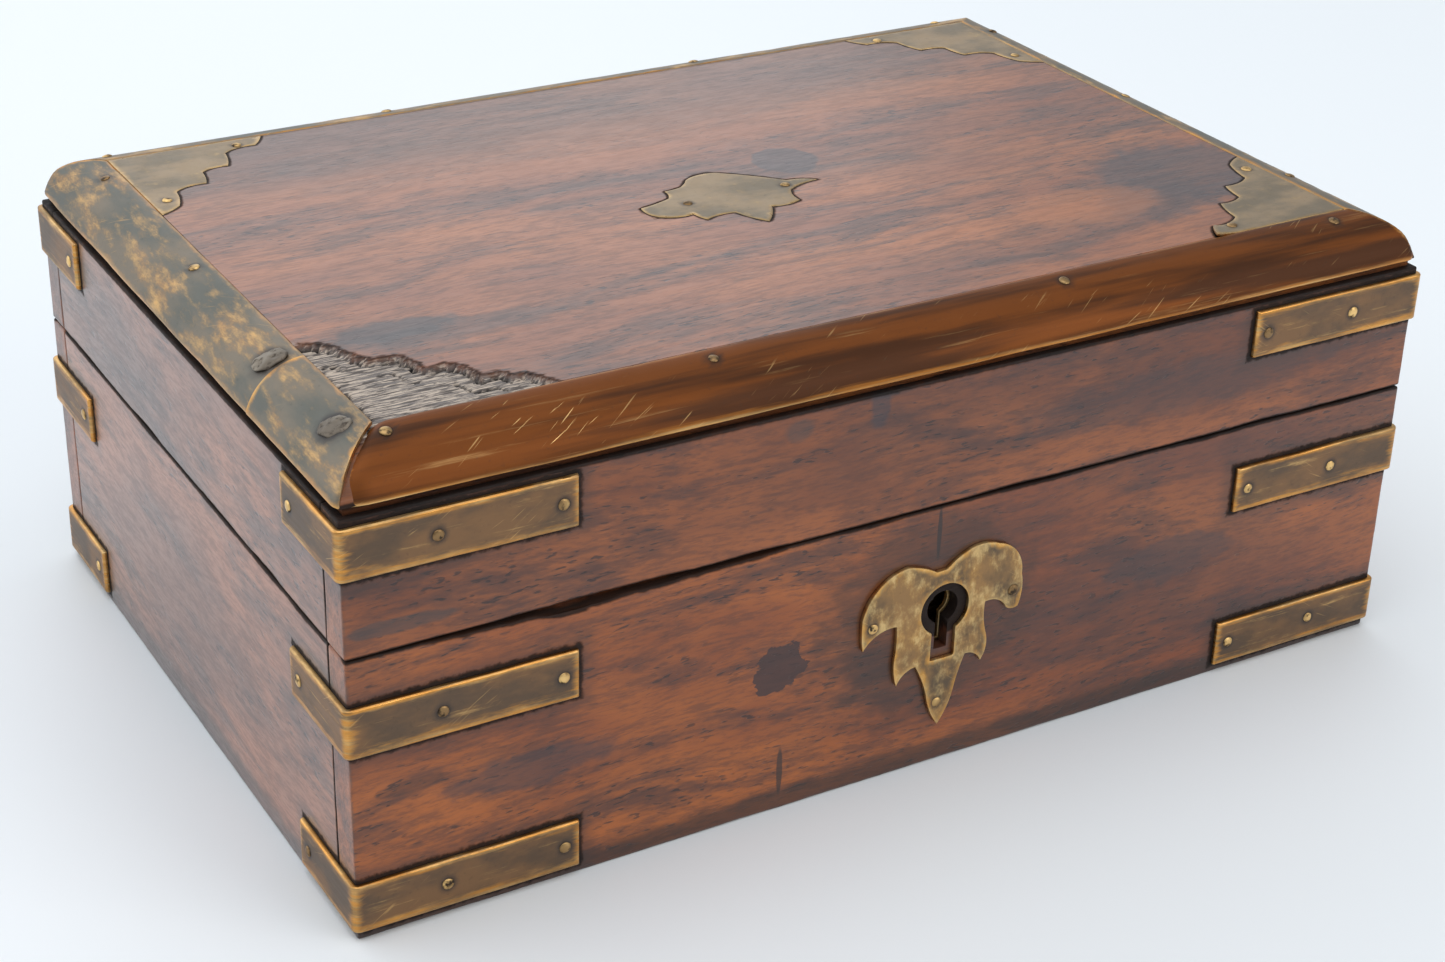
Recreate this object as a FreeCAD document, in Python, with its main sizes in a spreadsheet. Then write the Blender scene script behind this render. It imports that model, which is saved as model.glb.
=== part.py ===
import FreeCAD, Part
import math
import os

import Sketcher

# A brass-bound wooden tea caddy: a box 250 mm long with a hinged lid. +X runs along the box
# to the right, the front with the keyhole faces -Y, +Z is up. The origin is the middle of the
# underside of the bottom board.

SIZES = [
    # alias, value in mm or degrees, meaning
    ("body_length", 248, "outside length of the wooden body"),
    ("body_depth", 167, "outside depth of the wooden body, front to back"),
    ("base_height", 60.5, "height of the base, from the table to the seam"),
    ("seam_gap", 0.3, "gap between base and closed lid"),
    ("rail_height", 28.1, "height of the lid's frame"),
    ("top_thickness", 11.1, "thickness of the lid's top board"),
    ("wall", 8, "thickness of the side boards and lid rails"),
    ("bottom_thickness", 6, "thickness of the bottom board"),
    ("edge_width", 12, "width of the rounded brass edge, seen from above"),
    ("edge_height", 9.3, "height of the rounded brass edge"),
    ("edge_sheet", 0.7, "thickness of the brass edge"),
    ("edge_shadow", 1.6, "how far the top board steps in under the brass edge"),
    ("edge_seam", 41.5, "front-left corner length of the brass edge, from the front"),
    ("strap_height", 10.4, "height of a corner strap"),
    ("strap_thickness", 1, "thickness of a corner strap"),
    ("strap_left_leg", 46, "left-hand strap's leg along the front or back"),
    ("strap_right_leg", 44.5, "right-hand strap's leg along the front or back"),
    ("strap_short_leg", 25, "strap's leg along a side"),
    ("low_strap_z", 2.2, "underside of the lower straps"),
    ("high_strap_z", 40.5, "underside of the base's upper straps"),
    ("lid_strap_z", 16.2, "underside of the lid's straps, above the lid's lower edge"),
    ("near_nail", 18.2, "strap nail on the long leg, nearer the corner"),
    ("end_nail", 3.2, "strap nail on the long leg, from the leg's end"),
    ("side_end_nail", 4, "strap nail on the short leg, from the leg's end"),
    ("nail_head", 1.3, "radius of a brass nail's head"),
    ("nail_shank", 0.5, "radius of a brass nail's shank"),
    ("nail_length", 6, "length of a brass nail under its head"),
    ("short_nail_length", 2.4, "length of the keyhole plate's nails, over the thin wood of the mortise"),
    ("iron_head", 3.6, "radius of an iron nail's flat head"),
    ("iron_shank", 0.8, "radius of an iron nail's shank"),
    ("screw_head", 2, "radius of a countersunk screw's head"),
    ("screw_shank", 1, "radius of a screw's shank"),
    ("screw_length", 5.5, "length of a screw"),
    ("head_height", 0.4, "height of a domed nail head"),
    ("hole_clearance", 0.05, "radial clearance of nail and screw holes"),
    ("plate_leg", 35, "leg of a corner plate along the brass edge"),
    ("plate_thickness", 0.8, "thickness of the inlaid brass plates"),
    ("escutcheon_thickness", 1, "thickness of the keyhole plate"),
    ("keyhole_x", 5, "keyhole, right of the middle of the front"),
    ("keyhole_drop", 23.5, "keyhole, below the top of the base"),
    ("plate_hole", 5.8, "radius of the keyhole plate's round hole"),
    ("key_hole", 3.7, "radius of the keyhole in the wood"),
    ("case_hole", 3.2, "radius of the keyhole in the lock case"),
    ("case_width", 44, "width of the lock case"),
    ("case_depth", 5, "depth of the lock case"),
    ("case_drop", 12, "lock case below the keyhole's centre"),
    ("case_wall", 1, "wall of the lock case"),
    ("lock_clearance", 0.2, "gap round the lock in its mortise, and round the bolt"),
    ("lock_plate_margin", 6, "how far the lock's back plate passes its case"),
    ("lock_plate_thickness", 1.5, "thickness of the lock's back plate"),
    ("selvedge_thickness", 1.2, "thickness of the lock's top plate"),
    ("bolt_thickness", 1.2, "thickness of the bolt"),
    ("bolt_bar", 6, "height of the bolt's bar"),
    ("bolt_above_key", 7, "bolt's lower edge above the keyhole's centre"),
    ("bolt_travel", 4.5, "travel of the bolt"),
    ("link_spacing", 24, "distance between the two links"),
    ("link_thickness", 2, "thickness of a link"),
    ("link_width", 3, "width of a link, front to back"),
    ("link_plate_length", 42, "length of the link plate"),
    ("link_plate_thickness", 1.2, "thickness of the link plate"),
    ("hinge_spread", 70, "each hinge from the middle of the box"),
    ("hinge_length", 40, "length of a hinge"),
    ("hinge_leaf", 1, "thickness of a hinge leaf"),
    ("hinge_margin", 1, "wood left between a hinge leaf and the inside"),
    ("knuckle_radius", 2, "radius of the hinge knuckles"),
    ("knuckle_offset", 0.3, "gap between the knuckles and the wood"),
    ("knuckle_gap", 0.3, "gap between neighbouring knuckles"),
    ("pin_radius", 0.9, "radius of a hinge pin"),
    ("pin_clearance", 0.05, "radial clearance of a hinge pin"),
    ("divider_thickness", 6, "thickness of a divider"),
    ("well_width", 70, "clear width of the middle well"),
    ("compartment_depth", 40, "depth of a tea compartment under its lid"),
    ("ledge", 5, "height and width of the ledges"),
    ("inner_lid_thickness", 5, "thickness of an inner lid"),
    ("inner_lid_clearance", 0.5, "gap round an inner lid"),
    ("knob_radius", 5, "radius of an inner lid's knob"),
    ("knob_height", 8, "height of an inner lid's knob"),
]

doc = FreeCAD.newDocument("tea_caddy")
sheet = doc.addObject("Spreadsheet::Sheet", "Dims")
for row, (alias, value, meaning) in enumerate(SIZES, start=1):
    sheet.set(f"A{row}", meaning)
    sheet.set(f"B{row}", str(value))
    sheet.setAlias(f"B{row}", alias)
doc.recompute()


class Size:
    """A length that carries its number and the sheet formula it comes from."""

    def __init__(self, number, formula):
        self.number = float(number)
        self.formula = formula

    def __add__(self, other):
        other = as_size(other)
        return Size(self.number + other.number, f"({self.formula} + {other.formula})")

    def __sub__(self, other):
        other = as_size(other)
        return Size(self.number - other.number, f"({self.formula} - {other.formula})")

    def __mul__(self, factor):
        return Size(self.number * factor, f"({self.formula} * {factor})")

    def __truediv__(self, factor):
        return Size(self.number / factor, f"({self.formula} / {factor})")

    def __neg__(self):
        return self * -1


def as_size(value):
    return value if isinstance(value, Size) else Size(value, f"({value})")


def dim(alias):
    """The named cell of the sheet, as a Size."""
    return Size(sheet.get(alias), f"Dims.{alias}")


def place(obj, at, turn=None):
    """Tie an object's place to the sheet; turn is a rotation that stays as given."""
    if turn is not None:
        obj.Placement = FreeCAD.Placement(FreeCAD.Vector(0, 0, 0), turn)
    for axis, value in zip("xyz", at):
        obj.setExpression(f"Placement.Base.{axis}", as_size(value).formula)
    return obj


TURN_X = FreeCAD.Rotation(FreeCAD.Vector(0, 0, 1), FreeCAD.Vector(1, 0, 0))
TURN_BACK = FreeCAD.Rotation(FreeCAD.Vector(0, 0, 1), FreeCAD.Vector(0, 1, 0))


# ---- plain solids and booleans -------------------------------------------------------------

def box(name, low, high):
    """A board or block between two opposite corners."""
    block = doc.addObject("Part::Box", name)
    for side, near, far in zip(("Length", "Width", "Height"), low, high):
        block.setExpression(side, (as_size(far) - near).formula)
    return place(block, low)


def cylinder(name, at, radius, height, turn=None):
    rod = doc.addObject("Part::Cylinder", name)
    rod.setExpression("Radius", as_size(radius).formula)
    rod.setExpression("Height", as_size(height).formula)
    return place(rod, at, turn or FreeCAD.Rotation())


def cut(name, base, *tools):
    """Cut each tool from the base in turn."""
    for number, tool in enumerate(tools):
        step = doc.addObject("Part::Cut", name if number == len(tools) - 1 else f"{name}_cut")
        step.Base = base
        step.Tool = tool
        base = step
    return base


def common(name, first, second):
    shared = doc.addObject("Part::Common", name)
    shared.Base = first
    shared.Tool = second
    return shared


def fuse(name, *shapes):
    joined = doc.addObject("Part::MultiFuse", name)
    joined.Shapes = list(shapes)
    joined.Refine = True
    return joined


def group(name, solids):
    """Separate like solids kept as one sub-part."""
    together = doc.addObject("Part::Compound", name)
    together.Links = list(solids)
    return together


# ---- sketched bodies -----------------------------------------------------------------------

def sketch_on(body, role):
    """A sketch on one of the body's own origin planes."""
    sketch = body.newObject("Sketcher::SketchObject", f"{body.Name}_sketch")
    plane = [item for item in body.Origin.OriginFeatures if item.Role == role][0]
    sketch.AttachmentSupport = [(plane, "")]
    sketch.MapMode = "FlatFace"
    return sketch


def hold(sketch, kind, places, value):
    """One dimension of the sketch, tied to the sheet."""
    value = as_size(value)
    index = sketch.addConstraint(Sketcher.Constraint(kind, *places, value.number))
    sketch.setExpression(f"Constraints[{index}]", value.formula)


def draw_outline(sketch, corners):
    """A closed run of straight edges, each corner held from the sketch's origin."""
    first = sketch.GeometryCount
    points = [FreeCAD.Vector(as_size(u).number, as_size(v).number, 0) for u, v in corners]
    for start, end in zip(points, points[1:] + points[:1]):
        sketch.addGeometry(Part.LineSegment(start, end), False)
    for index, (u, v) in enumerate(corners):
        before = first + (index - 1) % len(corners)
        sketch.addConstraint(Sketcher.Constraint("Coincident", before, 2, first + index, 1))
        hold(sketch, "DistanceX", (-1, 1, first + index, 1), u)
        hold(sketch, "DistanceY", (-1, 1, first + index, 1), v)


def draw_rectangle(sketch, low_u, low_v, high_u, high_v):
    draw_outline(sketch, [(low_u, low_v), (high_u, low_v), (high_u, high_v), (low_u, high_v)])


def draw_circle(sketch, u, v, radius):
    centre = FreeCAD.Vector(as_size(u).number, as_size(v).number, 0)
    normal = FreeCAD.Vector(0, 0, 1)
    ring = sketch.addGeometry(Part.Circle(centre, normal, as_size(radius).number), False)
    hold(sketch, "DistanceX", (-1, 1, ring, 3), u)
    hold(sketch, "DistanceY", (-1, 1, ring, 3), v)
    hold(sketch, "Radius", (ring,), radius)


def draw_keyhole(sketch, radius, slot_half, slot_end):
    """A round hole with a slot below it; slot_end is measured down from the round's centre."""
    radius, slot_half = as_size(radius), as_size(slot_half)
    side = math.asin(slot_half.number / radius.number)
    reach = math.sqrt(radius.number ** 2 - slot_half.number ** 2)
    down = -math.pi / 2
    circle = Part.Circle(FreeCAD.Vector(0, 0, 0), FreeCAD.Vector(0, 0, 1), radius.number)
    arc = sketch.addGeometry(Part.ArcOfCircle(circle, down + side, down + 2 * math.pi - side), False)
    end = -as_size(slot_end).number
    corners = [(-slot_half.number, -reach), (-slot_half.number, end),
               (slot_half.number, end), (slot_half.number, -reach)]
    points = [FreeCAD.Vector(u, v, 0) for u, v in corners]
    lines = [sketch.addGeometry(Part.LineSegment(a, b), False) for a, b in zip(points, points[1:])]
    ends = [(arc, 2), (lines[0], 1), (lines[0], 2), (lines[1], 1),
            (lines[1], 2), (lines[2], 1), (lines[2], 2), (arc, 1)]
    for (one, one_end), (two, two_end) in zip(ends[::2], ends[1::2]):
        sketch.addConstraint(Sketcher.Constraint("Coincident", one, one_end, two, two_end))
    sketch.addConstraint(Sketcher.Constraint("Coincident", arc, 3, -1, 1))
    sketch.addConstraint(Sketcher.Constraint("Vertical", lines[0]))
    sketch.addConstraint(Sketcher.Constraint("Horizontal", lines[1]))
    sketch.addConstraint(Sketcher.Constraint("Vertical", lines[2]))
    hold(sketch, "Radius", (arc,), radius)
    hold(sketch, "DistanceX", (-1, 1, lines[0], 1), -slot_half)
    hold(sketch, "DistanceX", (-1, 1, lines[2], 1), slot_half)
    hold(sketch, "DistanceY", (-1, 1, lines[1], 1), -as_size(slot_end))


def draw_scallops(sketch, start, stretches):
    """A closed hand-cut outline: each stretch is (end point, bulge), bulge 0 for a straight one.

    The bulge is the arc's height over half its chord, positive when the arc swells to the right
    of the way it runs.
    """
    here = FreeCAD.Vector(*start, 0)
    pieces = []
    for end, bulge in stretches:
        there = FreeCAD.Vector(*end, 0)
        if bulge == 0:
            index = sketch.addGeometry(Part.LineSegment(here, there), False)
            pieces.append((index, 1, 2))
        else:
            chord = there - here
            right = FreeCAD.Vector(chord.y, -chord.x, 0).normalize()
            half = chord.Length / 2
            radius = half * (1 + bulge ** 2) / (2 * abs(bulge))
            swell = half * bulge
            middle = (here + there) / 2
            centre = middle + right * (swell - math.copysign(radius, bulge))
            first, last = (here, there) if bulge > 0 else (there, here)
            angles = [math.atan2(p.y - centre.y, p.x - centre.x) for p in (first, last)]
            if angles[1] <= angles[0]:
                angles[1] += 2 * math.pi
            circle = Part.Circle(centre, FreeCAD.Vector(0, 0, 1), radius)
            index = sketch.addGeometry(Part.ArcOfCircle(circle, *angles), False)
            pieces.append((index, 1, 2) if bulge > 0 else (index, 2, 1))
        here = there
    for (one, _, one_end), (two, two_start, _) in zip(pieces, pieces[1:] + pieces[:1]):
        sketch.addConstraint(Sketcher.Constraint("Coincident", one, one_end, two, two_start))
    for index, _, _ in pieces:
        sketch.addConstraint(Sketcher.Constraint("Block", index))


def new_body(name):
    return doc.addObject("PartDesign::Body", name)


def pad(body, sketch, length, reverse=False):
    feature = body.newObject("PartDesign::Pad", f"{body.Name}_pad")
    feature.Profile = sketch
    feature.setExpression("Length", as_size(length).formula)
    feature.Reversed = reverse
    sketch.Visibility = False
    doc.recompute()
    return feature


def pocket(body, sketch, length=None, reverse=False):
    """Cut the sketch from the body; the volume must go down."""
    before = body.Shape.Volume
    feature = body.newObject("PartDesign::Pocket", f"{body.Name}_pocket")
    feature.Profile = sketch
    feature.Reversed = reverse
    if length is None:
        feature.Type = "ThroughAll"
    else:
        feature.setExpression("Length", as_size(length).formula)
    doc.recompute()
    if body.Shape.Volume > before - 1e-6:
        raise RuntimeError(f"{body.Name}: the pocket cuts nothing")
    return feature


def slab(name, role, draw, thickness, at, reverse=False):
    """A flat piece: draw puts its outline on the plane, and the pad gives its thickness."""
    body = new_body(name)
    sketch = sketch_on(body, role)
    draw(sketch)
    pad(body, sketch, thickness, reverse)
    return place(body, at)


def turned(name, profile):
    """A turned piece about its own Z: the profile's corners are (radius, height)."""
    body = new_body(name)
    sketch = sketch_on(body, "XZ_Plane")
    draw_outline(sketch, profile)
    feature = body.newObject("PartDesign::Revolution", f"{name}_turning")
    feature.Profile = sketch
    feature.ReferenceAxis = (sketch, ["V_Axis"])
    feature.Angle = 360
    doc.recompute()
    return body


# ---- driving places ------------------------------------------------------------------------

right = dim("body_length") / 2
back = dim("body_depth") / 2
wall = dim("wall")
inner_right = right - wall
inner_back = back - wall
base_top = dim("base_height")
lid_bottom = base_top + dim("seam_gap")
rail_top = lid_bottom + dim("rail_height")
lid_top = rail_top + dim("top_thickness")
key_x = dim("keyhole_x")
key_z = base_top - dim("keyhole_drop")
floor_z = dim("bottom_thickness")
ledge_top = floor_z + dim("compartment_depth")
clear = dim("hole_clearance")

# ---- nails and screws: one of each kind, and the hole it needs -----------------------------


def nail_profile(head, shank, length, height, gap):
    return [(0, -length - gap), (shank + gap, -length + shank * 2), (shank + gap, 0),
            (head, 0), (head * 0.6, height), (0, height)]


def hole_profile(shank, length, gap):
    return [(0, -length - gap), (shank + gap, -length - gap), (shank + gap, gap * 20), (0, gap * 20)]


def screw_profile(gap):
    head, shank, length = dim("screw_head"), dim("screw_shank"), dim("screw_length")
    return [(0, -length - gap), (shank + gap, -length - gap), (shank + gap, -(head - shank)),
            (head + gap, 0), (0, 0)]


brass_nail = turned("brass_nail", nail_profile(
    dim("nail_head"), dim("nail_shank"), dim("nail_length"), dim("head_height"), 0))
brass_nail_hole = turned("brass_nail_hole", hole_profile(
    dim("nail_shank"), dim("nail_length"), clear))
short_nail = turned("short_nail", nail_profile(
    dim("nail_head"), dim("nail_shank"), dim("short_nail_length"), dim("head_height"), 0))
short_nail_hole = turned("short_nail_hole", hole_profile(
    dim("nail_shank"), dim("short_nail_length"), clear))
iron_nail = turned("iron_nail", nail_profile(
    dim("iron_head"), dim("iron_shank"), dim("nail_length"), dim("head_height") * 2, 0))
iron_nail_hole = turned("iron_nail_hole", hole_profile(
    dim("iron_shank"), dim("nail_length"), clear))
screw_solid = turned("screw_solid", screw_profile(as_size(0)))
screw_hole = turned("screw_hole", screw_profile(clear))
slot_half = dim("screw_shank") * 0.2
slot_long = dim("screw_head") * 1.2
driver_slot = box("driver_slot", (-slot_long, -slot_half, -slot_half * 2), (slot_long, slot_half, slot_half))
slotted_screw = cut("slotted_screw", screw_solid, driver_slot)


def driven(name, piece, places):
    """Copies of one fastener; each place is (point, direction its head faces)."""
    copies = []
    for point, facing in places:
        copy = doc.addObject("App::Link", f"{name}_one")
        copy.LinkedObject = piece
        place(copy, point, FreeCAD.Rotation(FreeCAD.Vector(0, 0, 1), FreeCAD.Vector(*facing)))
        copies.append(copy)
    return group(name, copies)


# ---- corner straps -------------------------------------------------------------------------

CORNERS = [("front_left", -1, -1), ("front_right", 1, -1), ("back_left", -1, 1), ("back_right", 1, 1)]


def strap(name, side, end, low_z):
    """An L of brass strip folded round one upright corner; side and end are the corner's signs."""
    thick = dim("strap_thickness")
    long_end = right - dim("strap_left_leg" if side < 0 else "strap_right_leg")
    short_end = back - dim("strap_short_leg")
    corners = [(long_end, back), (right, back), (right, short_end), (right + thick, short_end),
               (right + thick, back + thick), (long_end, back + thick)]
    return slab(name, "XY_Plane",
                lambda sketch: draw_outline(sketch, [(u * side, v * end) for u, v in corners]),
                dim("strap_height"), (0, 0, low_z))


def strap_nail_places(low_z):
    """Two nails in each long leg and one in each short leg of a ring of four straps."""
    thick = dim("strap_thickness")
    height = low_z + dim("strap_height") / 2
    places = []
    for _, side, end in CORNERS:
        leg = dim("strap_left_leg" if side < 0 else "strap_right_leg")
        for inset in (dim("near_nail"), leg - dim("end_nail")):
            places.append((((right - inset) * side, (back + thick) * end, height), (0, end, 0)))
        reach = dim("strap_short_leg") - dim("side_end_nail")
        places.append((((right + thick) * side, (back - reach) * end, height), (side, 0, 0)))
    return places


def strap_ring(prefix, suffix, low_z, holes):
    straps = []
    for corner, side, end in CORNERS:
        name = f"{prefix}_strap_{corner}{suffix}"
        straps.append(cut(name, strap(f"{name}_strip", side, end, low_z), holes))
    return straps


base_levels = [("_upper", dim("high_strap_z")), ("_lower", dim("low_strap_z"))]
base_nail_places = [spot for _, low in base_levels for spot in strap_nail_places(low)]
base_strap_nails = driven("base_strap_nails", brass_nail, base_nail_places)
base_nail_holes = driven("base_nail_holes", brass_nail_hole, base_nail_places)
lid_strap_low = lid_bottom + dim("lid_strap_z")
lid_strap_nails = driven("lid_strap_nails", brass_nail, strap_nail_places(lid_strap_low))
lid_nail_holes = driven("lid_nail_holes", brass_nail_hole, strap_nail_places(lid_strap_low))

parts = [base_strap_nails, lid_strap_nails]
for suffix, low in base_levels:
    parts += strap_ring("base", suffix, low, base_nail_holes)
parts += strap_ring("lid", "", lid_strap_low, lid_nail_holes)

# ---- keyhole plate: a leaf of brass with three nails ---------------------------------------

ESCUTCHEON_START = (0, 9.2)
ESCUTCHEON = [
    ((-2.6, 9.2), 0), ((-9.4, 11.9), 0.1), ((-20.0, 2.2), 0.34), ((-19.6, -4.8), 0.05),
    ((-11.6, -1.1), -0.3), ((-11.8, -9.2), -0.06), ((-10.9, -15.4), 0.1), ((-6.4, -12.0), -0.3),
    ((-3.4, -19.2), -0.05), ((0, -27.6), 0.12), ((3.6, -19.4), 0.12), ((5.8, -12.2), -0.05),
    ((9.8, -15.0), -0.35), ((10.6, -8.0), 0.25), ((10.0, -1.0), -0.1), ((15.4, -3.8), -0.35),
    ((18.4, -4.2), 0.3), ((18.8, 3.4), 0.16), ((12.6, 12.0), 0.36), ((5.4, 12.4), 0.2),
    ((0, 9.2), 0.1),
]
plate_front = -(back + dim("escutcheon_thickness"))
escutcheon_nail_places = [
    ((key_x + u, plate_front, key_z + v), (0, -1, 0))
    for u, v in ((-17.4, 0), (-0.5, -22), (16.8, 0))
]
escutcheon_nails = driven("escutcheon_nails", short_nail, escutcheon_nail_places)
escutcheon_holes = driven("escutcheon_holes", short_nail_hole, escutcheon_nail_places)


def keyhole_cutter(name, radius, slot_half_width, slot_end, near_y, depth):
    """A keyhole-shaped cutter that starts at near_y and runs towards the back."""
    return slab(name, "XZ_Plane",
                lambda sketch: draw_keyhole(sketch, radius, slot_half_width, slot_end),
                depth, (key_x, near_y, key_z), reverse=True)


leaf = slab("escutcheon_leaf", "XZ_Plane",
            lambda sketch: draw_scallops(sketch, ESCUTCHEON_START, ESCUTCHEON),
            dim("escutcheon_thickness"), (key_x, -back, key_z))
plate_cutter = keyhole_cutter("plate_keyhole", dim("plate_hole"), dim("plate_hole") * 0.5,
                              dim("plate_hole") * 2, plate_front - 1, dim("escutcheon_thickness") + 2)
escutcheon = cut("escutcheon", leaf, plate_cutter, escutcheon_holes)
parts += [escutcheon, escutcheon_nails]

# ---- box lock: case, back plate, bolt, spring, key pin -------------------------------------

case_half = dim("case_width") / 2
case_bottom = key_z - dim("case_drop")
case_back = -inner_back
case_front = case_back - dim("case_depth")
case_top = base_top - dim("selvedge_thickness")
case_wall = dim("case_wall")
gap = dim("lock_clearance")
lock_middle_y = case_front + case_wall + (dim("case_depth") - case_wall) / 2

mortise = box("mortise", (key_x - case_half - gap, case_front - gap, case_bottom - gap),
              (key_x + case_half + gap, case_back + 1, base_top + 1))
wood_keyhole = keyhole_cutter("wood_keyhole", dim("key_hole"), dim("key_hole") * 0.42,
                              dim("key_hole") * 2.6, -back - 1, wall)
case_keyhole = keyhole_cutter("case_keyhole", dim("case_hole"), dim("case_hole") * 0.42,
                              dim("case_hole") * 2.8, case_front - 1, case_wall + 2)

case_block = box("case_block", (key_x - case_half, case_front, case_bottom),
                 (key_x + case_half, case_back, case_top))
case_hollow = box("case_hollow", (key_x - case_half + case_wall, case_front + case_wall,
                                  case_bottom + case_wall),
                  (key_x + case_half - case_wall, case_back + 1, case_top + 1))
lock_case = cut("lock_case", case_block, case_hollow, case_keyhole)

plate_inside = case_back + dim("lock_plate_thickness")
plate_half = case_half + dim("lock_plate_margin")
plate_bottom = case_bottom - dim("lock_plate_margin")
screw_inset = dim("lock_plate_margin") / 2
lock_screw_places = [
    ((key_x + (plate_half - screw_inset) * side, plate_inside, level), (0, 1, 0))
    for side in (-1, 1) for level in (plate_bottom + screw_inset, case_top - screw_inset)
]
lock_screws = driven("lock_screws", slotted_screw, lock_screw_places)
lock_screw_holes = driven("lock_screw_holes", screw_hole, lock_screw_places)

link_half = dim("link_spacing") / 2
bolt_low = key_z + dim("bolt_above_key")
bolt_top = bolt_low + dim("bolt_bar")
stump_x = link_half - 2
stump_z = bolt_low + dim("bolt_bar") / 2
back_plate_upright = box("lock_plate_upright", (key_x - plate_half, case_back, plate_bottom),
                         (key_x + plate_half, plate_inside, base_top))
selvedge = box("lock_selvedge", (key_x - case_half, case_front, case_top),
               (key_x + case_half, plate_inside, base_top))
stump = cylinder("bolt_stump", (key_x + stump_x, case_front + case_wall, stump_z),
                 as_size(1), dim("case_depth") - case_wall, TURN_BACK)
lock_plate_solid = fuse("lock_plate_solid", back_plate_upright, selvedge, stump)
link_slots = [
    box("link_slot", (key_x + link_half * side - dim("link_thickness") / 2 - gap * 2,
                      case_front + case_wall, case_top - 1),
        (key_x + link_half * side + dim("link_thickness") / 2 + gap * 2, case_back, base_top + 1))
    for side in (-1, 1)
]
lock_back_plate = cut("lock_back_plate", lock_plate_solid, *link_slots, lock_screw_holes)

key_pin = cylinder("lock_key_pin", (key_x, case_front + case_wall + gap, key_z), dim("pin_radius"),
                   dim("case_depth") - case_wall - gap, TURN_BACK)

# The bolt is flat plate: a bar with two upright arms, each with a nose that slides into a link.
nose_length = dim("bolt_travel") - gap
nose_height = dim("bolt_thickness") * 2
arm_width = dim("bolt_thickness") * 2
nose_low = bolt_top + dim("bolt_thickness") * 2.4
link_face = -(dim("link_thickness") / 2)
arm_right = link_face - dim("bolt_travel") - gap * 1.5
arm_left = arm_right - arm_width
nose_tip = link_face - gap * 3


def draw_bolt(sketch):
    left_arm, right_arm = -link_half, link_half
    talon = as_size(2.5)
    bar_end = link_half + 2
    nose_top = nose_low + nose_height
    outline = [(left_arm + arm_left, bolt_low), (-talon, bolt_low), (-talon, bolt_low + talon),
               (talon, bolt_low + talon), (talon, bolt_low), (bar_end, bolt_low), (bar_end, bolt_top)]
    for arm in (right_arm, left_arm):
        outline += [(arm + arm_right, bolt_top), (arm + arm_right, nose_low), (arm + nose_tip, nose_low),
                    (arm + nose_tip, nose_top), (arm + arm_left, nose_top)]
        if arm is right_arm:
            outline.append((arm + arm_left, bolt_top))
    draw_outline(sketch, outline)


bolt_plate = slab("bolt_plate", "XZ_Plane", draw_bolt, dim("bolt_thickness"),
                  (key_x, lock_middle_y + dim("bolt_thickness") / 2, 0))
stump_slot = box("stump_slot", (key_x + stump_x - dim("bolt_travel") - gap - 1, case_front,
                                stump_z - gap - 1),
                 (key_x + stump_x + gap + 1, case_back, stump_z + gap + 1))
lock_bolt = cut("lock_bolt", bolt_plate, stump_slot)

# The spring is a bow of thin strip that hangs from the top plate and rests on the bolt's bar.
spring_radius = (case_top - bolt_top) * 0.58
spring_middle_z = bolt_top + spring_radius + gap * 0.75
spring_middle_x = key_x - dim("bolt_thickness") * 2.3
spring_outer = cylinder("spring_outer", (spring_middle_x, lock_middle_y - 1, spring_middle_z),
                        spring_radius, 2, TURN_BACK)
spring_inner = cylinder("spring_inner", (spring_middle_x, lock_middle_y - 2, spring_middle_z),
                        spring_radius - 0.4, 4, TURN_BACK)
spring_top = box("spring_top", (spring_middle_x - spring_radius * 2, lock_middle_y - 2, case_top),
                 (spring_middle_x + spring_radius * 2, lock_middle_y + 2, case_top + spring_radius * 2))
lock_spring = cut("lock_spring", spring_outer, spring_inner, spring_top)
parts += [lock_case, lock_back_plate, key_pin, lock_bolt, lock_spring, lock_screws]

# ---- link plate under the lid's front rail -------------------------------------------------

link_top = lid_bottom + dim("link_plate_thickness")
link_plate_half = dim("link_plate_length") / 2
link_plate_box = box("link_plate_box", (key_x - link_plate_half, case_front, lid_bottom),
                     (key_x + link_plate_half, case_back, link_top))
link_recess = box("link_recess", (key_x - link_plate_half, case_front, lid_bottom - 1),
                  (key_x + link_plate_half, case_back + 1, link_top))
eye_half = dim("bolt_thickness") / 2 + gap
links = []
eyes = []
for side in (-1, 1):
    link_x = key_x + link_half * side
    thick = dim("link_thickness") / 2
    links.append(box("link", (link_x - thick, lock_middle_y - dim("link_width") / 2,
                              bolt_top + dim("bolt_thickness")),
                     (link_x + thick, lock_middle_y + dim("link_width") / 2, link_top)))
    eyes.append(box("link_eye", (link_x - thick * 2, lock_middle_y - eye_half, nose_low - gap * 1.5),
                    (link_x + thick * 2, lock_middle_y + eye_half, nose_low + nose_height + gap * 1.5)))
link_screw_places = [
    ((key_x + (link_plate_half - 3) * side, (case_front + case_back) / 2, lid_bottom), (0, 0, -1))
    for side in (-1, 1)
]
link_screws = driven("link_screws", slotted_screw, link_screw_places)
link_screw_holes = driven("link_screw_holes", screw_hole, link_screw_places)
link_plate = cut("lock_link_plate", fuse("link_plate_solid", link_plate_box, *links), *eyes,
                 link_screw_holes)
parts += [link_plate, link_screws]

# ---- hinges: two butt hinges with their knuckles behind the back ---------------------------

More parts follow.
